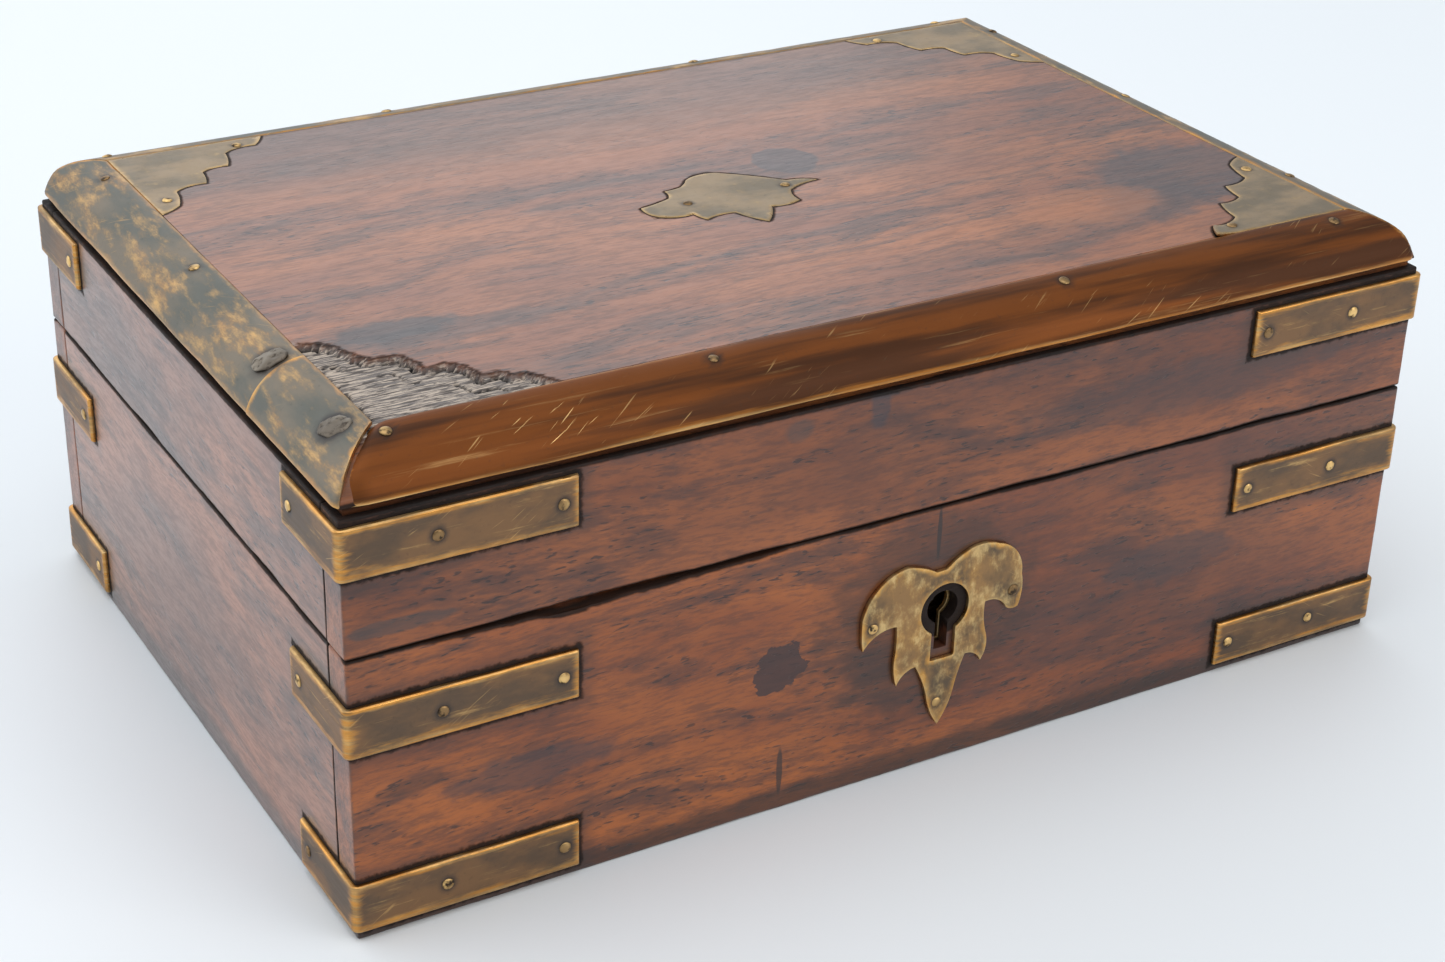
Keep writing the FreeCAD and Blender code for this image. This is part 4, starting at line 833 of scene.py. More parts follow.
# Hand-made heads are a little uneven.
here = net.put("GeometryNodeInputPosition")[0]
lumps = net.put("ShaderNodeTexNoise", {"Vector": here, "Scale": 480.0, "Detail": 2.0})["Color"]
lumps = net.put("ShaderNodeVectorMath", {0: lumps, 1: (0.5, 0.5, 0.5)}, operation="SUBTRACT")[0]
lumps = net.put("ShaderNodeVectorMath", {0: lumps, "Scale": given["Ragged"]}, operation="SCALE")[0]
nails = net.put("GeometryNodeSetPosition", {"Geometry": nails, "Offset": lumps})["Geometry"]
nails = net.put("GeometryNodeSetShadeSmooth", {"Geometry": nails})["Geometry"]
nails = net.put("GeometryNodeSetMaterial", {"Geometry": nails, "Material": given["Finish"]})[0]
net.wire(result, {0: nails})


def drive(name, tree, body, node, slot, places, depth, **sizes):
    """Run a fastener tree at a depth under each (head, direction), and keep it as a plain mesh."""
    piece = new_piece(name, [head - line * depth for head, line in places], [])
    layer = piece.data.attributes.new("aim", "FLOAT_VECTOR", "POINT")
    layer.data.foreach_set("vector", np.array([line for _, line in places], dtype=np.float32).ravel())
    step = piece.modifiers.new("driven", "NODES")
    step.node_group = tree
    for item in tree.interface.items_tree:
        word = item.name.lower().replace(" ", "_")
        if item.in_out == "INPUT" and word in sizes:
            step[item.identifier] = sizes[word]
    fitted(applied(piece), body, node)
    return piece


def fastener_metal(name, bare, dull, dark, rough=(0.30, 0.55)):
    """A small metal head: bare on its crown, dull and dirty in its hollows."""
    material, net, shader = new_material(name)
    here = net.put("ShaderNodeTexCoord")["Object"]
    lumps = net.cloud(here, (700, 700, 700))
    wide = net.cloud(here, (60, 60, 60), detail=2)
    colour = net.tint(net.fade(wide, 0.42, 0.58), bare, dull)
    colour = net.tint(net.fade(lumps, 0.52, 0.68), colour, dark)
    net.wire(shader, {"Base Color": colour, "Roughness": net.fade(lumps, 0.35, 0.65, *rough),
                      "Metallic": 0.95, "Normal": net.bump(0.4, 0.0001, lumps)})
    return material


pin_brass = fastener_metal("pin_brass", (0.82, 0.54, 0.22), (0.27, 0.165, 0.075), (0.06, 0.042, 0.028))
pin_height = 0.4 * MM
for name, body, node, places in (("base_strap_pins", "base", "base_strap_nails", base_nails),
                                 ("lid_strap_pins", "lid", "lid_strap_nails", lid_nails)):
    drive(name, nail_tree, body, node, "brass_nail", places, pin_height, head_height=pin_height, seed=5,
          head_radius=1.2 * MM, ragged=0.25 * MM, finish=pin_brass)

# ---- keyhole plate --------------------------------------------------------------------------
# A leaf of 1 mm brass sawn by hand, with five lobes below and a heart-shaped top, laid on the
# front over the keyhole and held by three short pins.


def plate_outline(node, axis, side):
    """The loops round the flat face of a CAD plate, without its nail holes."""
    form = cad_form(node)
    form.normal_update()
    flat = {face for face in form.faces if face.normal[axis] * side > 0.9}
    rims = [edge for edge in form.edges if sum(face in flat for face in edge.link_faces) == 1]
    links = {}
    for edge in rims:
        for one, two in ((edge.verts[0], edge.verts[1]), (edge.verts[1], edge.verts[0])):
            links.setdefault(one.index, []).append(two)
    form.verts.ensure_lookup_table()
    left = set(links)
    loops = []
    keep = [part for part in range(3) if part != axis]
    while left:
        here = min(left)
        loop = []
        while here is not None:
            left.discard(here)
            loop.append([form.verts[here].co[part] for part in keep])
            onward = [other.index for other in links[here] if other.index in left]
            here = onward[0] if onward else None
        loop = np.array(loop)
        if np.ptp(loop, axis=0).max() > 3 * MM:
            loops.append(loop)
    form.free()
    return sorted(loops, key=lambda loop: -np.ptp(loop, axis=0).max())


def even_steps(loop, step):
    """The loop again with its points a step apart; sharp corners stay."""
    closed = np.vstack([loop, loop[:1]])
    points = []
    for start, end in zip(closed, closed[1:]):
        count = max(1, round(np.linalg.norm(end - start) / step))
        points += [start + (end - start) * part / count for part in range(count)]
    kept = [points[0]]
    for point in points[1:]:
        if np.linalg.norm(point - kept[-1]) > 0.4 * step:
            kept.append(point)
    return np.array(kept)


def line_distance(points, lines, limit):
    """How far each point is from the nearest of the lines, up to a limit."""
    nearest = np.full(len(points), limit)
    for start, end in lines:
        edge = end - start
        part = np.clip((points - start) @ edge / max(edge @ edge, 1e-12), 0, 1)
        nearest = np.minimum(nearest, np.linalg.norm(points - start - part[:, None] * edge, axis=1))
    return nearest


def rim_distance(flat, loops):
    """How far each flat point is from the nearest outline."""
    return line_distance(flat, [line for loop in loops for line in zip(loop, np.roll(loop, -1, axis=0))], 1.0)


def inside(flat, loops):
    """True for flat points inside the outer loop and outside the holes."""
    odd = np.zeros(len(flat), bool)
    for loop in loops:
        for (x1, y1), (x2, y2) in zip(loop, np.roll(loop, -1, axis=0)):
            crosses = (y1 > flat[:, 1]) != (y2 > flat[:, 1])
            at = x1 + (flat[:, 1] - y1) * (x2 - x1) / (y2 - y1 if y2 != y1 else 1e-12)
            odd ^= crosses & (flat[:, 0] < at)
    return odd


def eased(piece, width, degrees):
    """Round over the edges that turn by more than this angle."""
    ease = piece.modifiers.new("eased", "BEVEL")
    ease.width = width
    ease.segments = 2
    ease.limit_method = "ANGLE"
    ease.angle_limit = math.radians(degrees)
    applied(piece)


def sawn_plate(name, node, axis, side, step, seed, soften, lift=None, heads=None):
    """A flat plate rebuilt from its outline, with rounded edges and shallow dents. lift says how
    far it has sprung up at each place."""
    low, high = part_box(node)
    top = high[axis] if side > 0 else low[axis]
    thick = (high - low)[axis]
    loops = [even_steps(loop, step) for loop in plate_outline(node, axis, side)]
    first, last = loops[0].min(0), loops[0].max(0)
    chance = random.Random(seed)
    grid = []
    for u in np.arange(first[0], last[0], step * 1.3):
        for v in np.arange(first[1], last[1], step * 1.3):
            grid.append((u + chance.uniform(-0.2, 0.2) * step, v + chance.uniform(-0.2, 0.2) * step))
    grid = np.array(grid)
    grid = grid[inside(grid, loops)]
    grid = grid[rim_distance(grid, loops) > 0.9 * step]
    flat = np.vstack(loops + [grid])
    edges = []
    start = 0
    for loop in loops:
        edges += [(start + number, start + (number + 1) % len(loop)) for number in range(len(loop))]
        start += len(loop)
    found = delaunay_2d_cdt([Vector(point / MM) for point in flat], edges, [], 1, 1e-6)
    flat = np.array([tuple(point) for point in found[0]]) * MM
    triangles = [tuple(face) for face in found[2]]
    centres = np.array([flat[list(face)].mean(0) for face in triangles])
    triangles = [face for face, good in zip(triangles, inside(centres, loops)) if good]
    keep = [part for part in range(3) if part != axis]
    sheet = np.zeros((len(flat), 3))
    sheet[:, keep] = flat
    sheet[:, axis] = top
    back = sheet.copy()
    back[:, axis] -= side * thick
    count = len(sheet)
    corners = sheet[list(triangles[0])]
    turn = np.cross(corners[1] - corners[0], corners[2] - corners[0])[axis] * side < 0
    faces = [face[::-1] if turn else face for face in triangles]
    uses = dict.fromkeys(pair for face in faces for pair in zip(face, face[1:] + face[:1]))
    walls = [(two, one, one + count, two + count) for one, two in uses if (two, one) not in uses]
    faces += [tuple(index + count for index in face[::-1]) for face in faces] + walls
    piece = new_piece(name, np.vstack([sheet, back]), faces)
    form = bmesh.new()
    form.from_mesh(piece.data)
    bmesh.ops.delete(form, geom=[vertex for vertex in form.verts if not vertex.link_faces], context="VERTS")
    form.to_mesh(piece.data)
    form.free()
    eased(piece, soften, 50)
    there = spots(piece)
    flat = there[:, keep]
    rim = rim_distance(flat, loops)
    face_share = np.clip(1 - np.abs(there[:, axis] - top) / thick, 0, 1)
    mark(piece, "rim", rim / MM)
    run = np.zeros_like(there)
    run[:, 0] = flat[:, 0] + seed * 0.11
    run[:, 1] = flat[:, 1]
    mark_run(piece, run)
    if heads is not None:
        mark(piece, "halo", nail_halo(there, heads, 1.1 * MM, 1.9 * MM))
    dent = 0.05 * MM * (rumple(there, 160, seed) - 0.5) + 0.03 * MM * rumple(there, 520, seed)
    there[:, axis] += side * np.minimum(dent, 0) * face_share
    if lift:
        there[:, axis] += side * lift(flat)
    piece.data.vertices.foreach_set("co", there.ravel())
    piece.data.update()
    smooth_off(piece, 40)
    return piece


plate_brass = aged_brass("plate_brass", rub=0.85, rim_width=1.0, bright=(0.84, 0.60, 0.27),
                         golden=(0.66, 0.345, 0.095), brown=(0.31, 0.175, 0.070), olive=(0.115, 0.082, 0.052),
                         grain=(260, 150, 150), patch=(150, 110, 110), mottle=(100, 75, 75))
plate_pins = nail_places("escutcheon_nails", axis=(0, -1, 0))
plate_heads = np.array([head for head, _ in plate_pins])
keyhole_plate = sawn_plate("keyhole_plate", "escutcheon", 1, -1, 0.7 * MM, 4, 0.28 * MM, heads=plate_heads)
fitted(keyhole_plate, "base", "escutcheon", plate_brass)
drive("keyhole_plate_pins", nail_tree, "base", "escutcheon_nails", "brass_nail", plate_pins, pin_height,
      head_height=pin_height, seed=8, head_radius=1.2 * MM, shank_length=2.2 * MM, ragged=0.25 * MM,
      finish=pin_brass)

# ---- hinges ---------------------------------------------------------------------------------
# Two brass butt hinges let into the back edge, their knuckles standing just outside the wood.
# Each leaf is screwed down with small steel screws, and a brass pin runs through the knuckles.


def softened(name, node, width):
    """A CAD part with its edges eased, for small hard parts whose shape is already right."""
    piece = bpy.data.objects.new(name, cad_mesh(node))
    bpy.context.scene.collection.objects.link(piece)
    corners = spots(piece)
    form = bmesh.new()
    form.from_mesh(piece.data)
    sharp = [[corners[vertex.index] for vertex in edge.verts] for edge in form.edges
             if len(edge.link_faces) == 2 and edge.calc_face_angle(0) > math.radians(35)]
    form.free()
    eased(piece, width, 35)
    there = spots(piece)
    mark(piece, "rim", line_distance(there, sharp, 5.0 * MM) / MM)
    mark_run(piece, there)
    smooth_off(piece, 40)
    return piece


hinge_metal = aged_brass("hinge_brass_aged", rub=0.4, rim_width=0.4, bright=(0.62, 0.42, 0.18),
                         golden=(0.44, 0.26, 0.095), brown=(0.22, 0.145, 0.072),
                         olive=(0.14, 0.11, 0.070), grain=(900, 80, 80))
for node, body, ease in (("hinge_base_leaf_left", "base", 0.1), ("hinge_base_leaf_right", "base", 0.1),
                         ("hinge_lid_leaf_left", "lid", 0.1), ("hinge_lid_leaf_right", "lid", 0.1),
                         ("hinge_pins", "base", 0.12)):
    part = softened(node.replace("hinge_", "butt_hinge_"), node, ease * MM)
    fitted(part, body, node, hinge_metal)

# Slotted screws: a flat countersunk head with a sawn slot, on a plain shank.
net, given, result = new_group(
    "slotted_screws",
    [("Places", "Geometry", None), ("Head Radius", "Float", 0.002), ("Head Depth", "Float", 0.0011),
     ("Slot Width", "Float", 0.0005), ("Slot Depth", "Float", 0.0005), ("Shank Radius", "Float", 0.001),
     ("Shank Length", "Float", 0.0055), ("Seed", "Int", 4), ("Finish", "Material", None)],
    [("Screws", "Geometry")], "GeometryNodeTree")
screw_tree = net.tree
deep = given["Head Depth"]
cone = net.put("GeometryNodeMeshCone", {"Vertices": 28, "Radius Top": given["Head Radius"],
                                        "Radius Bottom": given["Shank Radius"], "Depth": deep})["Mesh"]
cone = lowered(net, cone, net.times(deep, -1.0))
slot = net.put("ShaderNodeCombineXYZ", {"X": net.times(given["Head Radius"], 2.4), "Y": given["Slot Width"],
                                        "Z": net.times(given["Slot Depth"], 2.0)})[0]
slot = net.put("GeometryNodeMeshCube", {"Size": slot})["Mesh"]
sawn = net.put("GeometryNodeMeshBoolean", {"Mesh 1": cone, "Mesh 2": slot}, operation="DIFFERENCE")["Mesh"]
length = net.minus(given["Shank Length"], deep)
shank = net.put("GeometryNodeMeshCylinder",
                {"Vertices": 10, "Radius": given["Shank Radius"], "Depth": length})["Mesh"]
shank = lowered(net, shank, net.minus(net.times(length, -0.5), deep))
screws = driven(net, given, (shank, sawn), 3.141)
screws = net.put("GeometryNodeSetMaterial", {"Geometry": screws, "Material": given["Finish"]})[0]
net.wire(result, {0: screws})

screw_steel = fastener_metal("screw_steel", (0.42, 0.40, 0.37), (0.16, 0.13, 0.11), (0.05, 0.030, 0.020),
                             rough=(0.35, 0.65))


def screw_down(name, body, node, axis, seed):
    """Steel screws sunk just under the surface."""
    screws = drive(name, screw_tree, body, node, "steel_screw", nail_places(node, axis=axis), 0.05 * MM,
                   finish=screw_steel, seed=seed)
    smooth_off(screws, 40)


screw_down("hinge_screws_base", "base", "hinge_base_screws", (0, 0, 1), 6)
screw_down("hinge_screws_lid", "lid", "hinge_lid_screws", (0, 0, -1), 6)

# ---- lock -----------------------------------------------------------------------------------
# A brass box lock let into the front board from inside: case, back plate with its top plate, a
# steel key pin, bow spring and bolt. Two links hang from a brass plate under the lid's rail.
lock_metal = aged_brass("lock_brass_aged", rub=0.5, rim_width=0.4, bright=(0.66, 0.45, 0.20),
                        golden=(0.46, 0.28, 0.105), brown=(0.26, 0.17, 0.080),
                        olive=(0.18, 0.14, 0.080), grain=(70, 70, 900))
lock_steel_dull = fastener_metal("lock_steel_dull", (0.36, 0.35, 0.33), (0.17, 0.15, 0.135),
                                 (0.06, 0.040, 0.028), rough=(0.30, 0.6))
for node, body, finish, place in (("lock_case", "base", lock_metal, "lock_brass"),
                                  ("lock_back_plate", "base", lock_metal, "lock_brass"),
                                  ("lock_key_pin", "base", lock_steel_dull, "lock_steel"),
                                  ("lock_spring", "base", lock_steel_dull, "lock_steel"),
                                  ("lock_bolt", "bolt", lock_steel_dull, "lock_steel"),
                                  ("lock_link_plate", "lid", lock_metal, "lock_brass")):
    part = softened(node.replace("lock_", "box_lock_"), node, 0.12 * MM)
    fitted(part, body, node, finish)
screw_down("box_lock_screws", "base", "lock_screws", (0, 1, 0), 9)
screw_down("link_plate_screws", "lid", "link_screws", (0, 0, -1), 10)

# ---- inside: dividers, ledges, inner lids and knobs -----------------------------------------
# Two teak dividers make a tea compartment at each end and a well between them. Each compartment
# has a loose teak lid on ledges, lifted by a turned brass knob.
inner_teak_along_y = waxed_teak("inner_teak_along_y", ALONG_Y, (0.30, 0.130, 0.065), (0.20, 0.085, 0.048),
                                (0.085, 0.046, 0.034), shift=(0.2, 0.6, 0.1), gloss=(0.45, 0.65))
for name, node, body, seed in (("divider_board_left", "divider_left", "base", 41.0),
                               ("divider_board_right", "divider_right", "base", 43.0),
                               ("inner_lid_board_left", "inner_lid_left", "left_inner_lid", 47.0),
                               ("inner_lid_board_right", "inner_lid_right", "right_inner_lid", 53.0)):
    board, there, low, high = worn_board(name, node, 2.5 * MM, 0.6 * MM, seed)
    mark(board, "grime_and_shade", np.zeros(len(there)))
    fitted(board, body, node, inner_teak_along_y)

ledges = softened("ledge_strips", "compartment_ledges", 0.4 * MM)
fitted(ledges, "base", "compartment_ledges", inner_teak_along_y)

knob_metal = aged_brass("knob_brass_aged", rub=0.7, rim_width=0.6, bright=(0.74, 0.52, 0.24),
                        golden=(0.54, 0.34, 0.13), brown=(0.32, 0.20, 0.090),
                        olive=(0.21, 0.155, 0.080), grain=(80, 80, 1200))
for side in ("left", "right"):
    knob = softened("turned_knob_" + side, "inner_knob_" + side, 0.15 * MM)
    fitted(knob, side + "_inner_lid", "inner_knob_" + side, knob_metal)

# ---- lid rails ------------------------------------------------------------------------------
# Four rails of the same teak, butted like the base and nailed, with the top board laid on them.
# The front rail's lower edge has lost splinters along the seam, and its top arris is rubbed pale.
lid_stains = [
    ((-0.0129, -0.0835, 0.086), (0.0018, 0.01, 0.0035), (0.035, 0.036, 0.048), 0.6, 0.5, 0.6),
    ((-0.0311, -0.0835, 0.0852), (0.0025, 0.01, 0.0018), (0.050, 0.044, 0.044), 0.5, 0.6, 0.6),
    ((-0.114, -0.0835, 0.0655), (0.008, 0.01, 0.0012), (0.050, 0.045, 0.045), 0.6, 0.8, 0.5),
    ((0.06, -0.0835, 0.074), (0.030, 0.01, 0.004), (0.045, 0.033, 0.036), 0.45, 0.9, 0.8),
]
rail_teak_long = waxed_teak("waxed_teak_long_rails", ALONG_X, (0.330, 0.098, 0.028), (0.160, 0.045, 0.018),
                            teak_dark, lid_stains, shift=(0.13, 0.2, 0.05), strapped=True, worn=0.35)
# The short rails share the greyer colours: a painted reflection of the bright room.
rail_sheen_teak_short = waxed_teak("waxed_teak_short_rails", ALONG_Y, sheen_grey_light, sheen_grey_deep, sheen_grey_dark,
                             shift=(0.9, 0.4, 0.2), strapped=True, worn=0.35, polish=1.55)
rail_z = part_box("lid_front_rail")[0].z
rail_chips = [(-70, 16, 0.5), (-88, 6, 0.35), (-40, 8, 0.3), (20, 10, 0.25), (85, 8, 0.25)]
for name, node, teak, seed, face, chips in (
        ("front_rail", "lid_front_rail", rail_teak_long, 61.0, (1, -1, body_low.y), rail_chips),
        ("back_rail", "lid_back_rail", rail_teak_long, 67.0, (1, 1, -body_low.y), rail_chips[3:]),
        ("left_rail", "lid_left_rail", rail_sheen_teak_short, 71.0, (0, -1, body_low.x), side_chips[1:]),
        ("right_rail", "lid_right_rail", rail_sheen_teak_short, 73.0, (0, 1, body_high.x), side_chips[1:])):
    board, there, low, high = worn_board(name, node, 1.8 * MM, 0.75 * MM, seed,
                                         seam=(rail_z, face, False), chips=chips)
    grime_and_shade = seam_dirt_and_shade(there, rail_z, face, chips, 1.0 * MM)
    if teak is rail_sheen_teak_short:
        grime_and_shade = np.maximum(grime_and_shade, np.clip(1 - (high[1] - np.abs(there[:, 1])) / (0.8 * MM), 0, 1))
    # Painted shade: the top of each rail, just under the overhanging brass edge, is darkened.
    shade_under_edge = np.clip((there[:, 2] - high[2] + 1.2 * MM) / (0.8 * MM), 0, 1) * 0.75
    mark(board, "grime_and_shade", np.maximum(grime_and_shade, shade_under_edge))
    fitted(board, "lid", node, teak)

# ---- top board ------------------------------------------------------------------------------
# One wide board of teak with seats sunk for the inlaid plates. The front-left plate is lost, and
# the wood of its seat is torn: bare grey-brown fibres with a ragged, splintered edge.
plate_seat = plate_outline("corner_plate_front_right", 2, 1)[0] * (-1, 1)
inner_corner = np.array([-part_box("corner_plate_front_right")[1].x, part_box("corner_plate_front_right")[0].y])
torn_outline = np.array([(-3, 31.5), (2.3, 29.5), (6.3, 26.6), (9.6, 22.8), (12.7, 22.5), (13.3, 16.6),
                         (16.6, 14.5), (20.8, 15.3), (21.3, 9.6), (23.9, 7.4), (28.0, 7.8), (30.2, 4.2),
                         (34.7, 0.2), (36.5, -3), (-3, -3)]) * MM + inner_corner


def torn_state(points):
    """How far inside the torn seat each point is, in mm, and where the deep cracks run."""
    flat = points[:, :2]
    near = (flat[:, 0] < inner_corner[0] + 45 * MM) & (flat[:, 1] < inner_corner[1] + 42 * MM)
    within = np.full(len(points), -9.0)
    crack = np.zeros(len(points))
    patch = flat[near]
    signs = np.where(inside(patch, [torn_outline]), 1, -1)
    torn_in = rim_distance(patch, [torn_outline]) * signs
    signs = np.where(inside(patch, [plate_seat]), 1, -1)
    seat_in = rim_distance(patch, [plate_seat]) * signs
    lie = np.column_stack([patch, np.zeros(len(patch))])
    jag = 0.9 * rumple(lie, (260, 1500, 1), 3.3) + 0.6 * rumple(lie, (600, 3200, 1), 8.1)
    depth = np.maximum(torn_in, seat_in + 0.2 * MM) / MM + 0.75 + np.clip(jag, -0.45, 0.9)
    within[near] = depth
    run = rumple(lie, (90, 420, 1), 5.7) + 0.5 * rumple(lie, (300, 2100, 1), 1.9)
    rim_band = np.clip(1 - np.abs(depth - 0.7) / 0.6, 0, 1)
    inner_band = np.clip(1 - np.abs(depth - 4.2) / 1.2, 0, 1) * 0.75
    crack[near] = np.clip((np.maximum(rim_band, inner_band) * (run + 0.85) - 0.42) / 0.22, 0, 1)
    crack[near] *= flat[near][:, 1] > inner_corner[1] + 1.5 * MM
    return within, crack


low, high = (np.array(corner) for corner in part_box("lid_top_board"))
low, high = low + 0.02 * MM, high - (0.02 * MM, 0.02 * MM, 0.14 * MM)
medallion_low, medallion_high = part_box("lid_medallion")
edge_low_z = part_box("lid_edge_front_strip")[0].z


def fine_stretches(axis, torn_size, torn_cell):
    """Small cells over the torn seat, the medallion and the plate in the far corner."""
    corner = inner_corner[axis]
    return [(corner - 1 * MM, corner + torn_size, torn_cell),
            (medallion_low[axis], medallion_high[axis], 0.9 * MM), (-corner - 36 * MM, -corner, 0.9 * MM)]


fine = (fine_stretches(0, 39 * MM, 0.5 * MM), fine_stretches(1, 36 * MM, 0.38 * MM), ())
points, faces = board_skin(low, high, 2.0 * MM, 0.3 * MM, fine)
points = round_arrises(points, low, high, 0.2 * MM)
upper = points[:, 2] > high[2] - 0.001 * MM
within, crack = torn_state(points[upper])
lie = points[upper] * (1, 1, 0)
fall = np.clip(within / 0.45, 0, 1)
fibres = rumple(lie, (90, 620, 1), 2.2)
clumps = rumple(lie, (70, 300, 1), 6.1)
depth = fall * (0.86 + 0.12 * np.clip(fibres, -0.1, 1) + 0.30 * np.clip(clumps, 0, 1)) + 0.5 * crack * fall
lifted = np.clip(1 - np.abs(within + 0.5) / 0.9, 0, 1) * np.clip(rumple(lie, (180, 600, 1), 4.4) + 0.2, 0, 1)
grain_dips = (0.03 * np.minimum(rumple(lie, (60, 420, 1), 7.7), 0)
              + 0.03 * np.minimum(rumple(lie, (25, 60, 1), 2.9), 0))
points[upper, 2] += (-depth + 0.06 * lifted + grain_dips * (1 - fall)) * MM
board = new_piece("top_board", points, faces)
form = bmesh.new()
form.from_mesh(board.data)
under = [face for face in form.faces
         if face.normal.z < -0.99 and face.calc_center_median().z < low[2] + 0.01 * MM]
bmesh.ops.dissolve_faces(form, faces=under)
form.to_mesh(board.data)
form.free()
keep_joinery(board, "lid_top_board")
smooth_off(board, 50)
there = spots(board)
within, crack = torn_state(there)
on_top = there[:, 2] > high[2] - 2.5 * MM
mark(board, "torn", np.clip((within + 0.15) / 0.45, 0, 1) * on_top)
mark(board, "crack", crack * np.clip(within / 0.45, 0, 1) * on_top)
plate_loops = [plate_outline(node, 2, 1)[0] for node in (
    "corner_plate_front_right", "corner_plate_back_right", "corner_plate_back_left", "lid_medallion")]
plate_gap = rim_distance(there[:, :2], plate_loops)
fringe = np.clip(1 - np.abs(within + 0.6) / 2.0, 0, 1) * 0.7
by_edge = (np.abs(there[:, 0]) > high[0] - 5 * MM) | (np.abs(there[:, 1]) > high[1] - 5 * MM)
# Painted shade on the sides of the top board under the brass edge, where the board steps in.
shade_under_edge = (there[:, 2] < edge_low_z + 0.3 * MM) & (there[:, 2] > low[2] + 0.1 * MM) & by_edge
plate_dirt = np.clip(1 - plate_gap / (1.3 * MM), 0, 1) * 0.9
mark(board, "grime_and_shade", np.maximum(np.maximum(plate_dirt, fringe) * on_top, shade_under_edge))
mark(board, "arris", np.zeros(len(there)))
top_stains_and_shade = [
    ((0.0198, 0.0065, 0.1), (0.0068, 0.0070, 0.01), (0.045, 0.030, 0.032), 0.78, 0.25, 0.15),
    ((-0.0936, -0.0374, 0.1), (0.0100, 0.0035, 0.01), (0.030, 0.024, 0.026), 0.85, 0.7, 0.6),
    ((-0.0800, -0.0420, 0.1), (0.0160, 0.0030, 0.01), (0.040, 0.030, 0.030), 0.55, 0.9, 0.8),
    ((0.0948, -0.0375, 0.1), (0.0160, 0.0120, 0.01), (0.040, 0.030, 0.034), 0.75, 0.6, 0.6),
    ((0.0790, -0.0500, 0.1), (0.0110, 0.0070, 0.01), (0.045, 0.032, 0.034), 0.60, 0.8, 0.6),
    ((0.0641, -0.0454, 0.1), (0.0130, 0.0070, 0.01), (0.400, 0.130, 0.036), 0.40, 0.7, 0.6),
    ((-0.0109, 0.0356, 0.1), (0.0500, 0.0110, 0.01), (0.400, 0.130, 0.040), 0.40, 0.7, 0.9),
    # This last entry is painted shade: it darkens the whole back part of the top.
    ((0.0, 0.0640, 0.1), (0.1150, 0.0180, 0.01), (0.080, 0.036, 0.022), 0.55, 0.5, 1.2),
]
top_teak = waxed_teak("waxed_teak_top", ALONG_X, (0.370, 0.116, 0.030), (0.235, 0.068, 0.022),
                      (0.070, 0.038, 0.030), top_stains_and_shade, shift=(0.31, 0.17, 0.4), gloss=(0.34, 0.52),
                      torn=True)
fitted(board, "lid", "lid_top_board", top_teak)

# ---- rounded brass edge ---------------------------------------------------------------------
# Sheet brass 0.7 mm thick, drawn to a quarter round and mitred at the corners, nailed over the
# edge of the top. The left side is in two lengths, and the short one laps the other.
edge_low, edge_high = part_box("lid_edge_front_strip")
edge_reach = edge_high.y - edge_low.y
edge_radius = 12.39 * MM
edge_centre = edge_high.z - edge_radius + 0.01 * MM
edge_sheet = 0.7 * MM
plan_round = 3.0 * MM
edge_nail_heads = nail_places("lid_top_nails")
iron_places = nail_places("lid_iron_nails")
SIDES = {"front": ((1, 0), (0, -1)), "back": ((-1, 0), (0, 1)), "right": ((0, 1), (1, 0)),
         "left": ((0, -1), (-1, 0))}


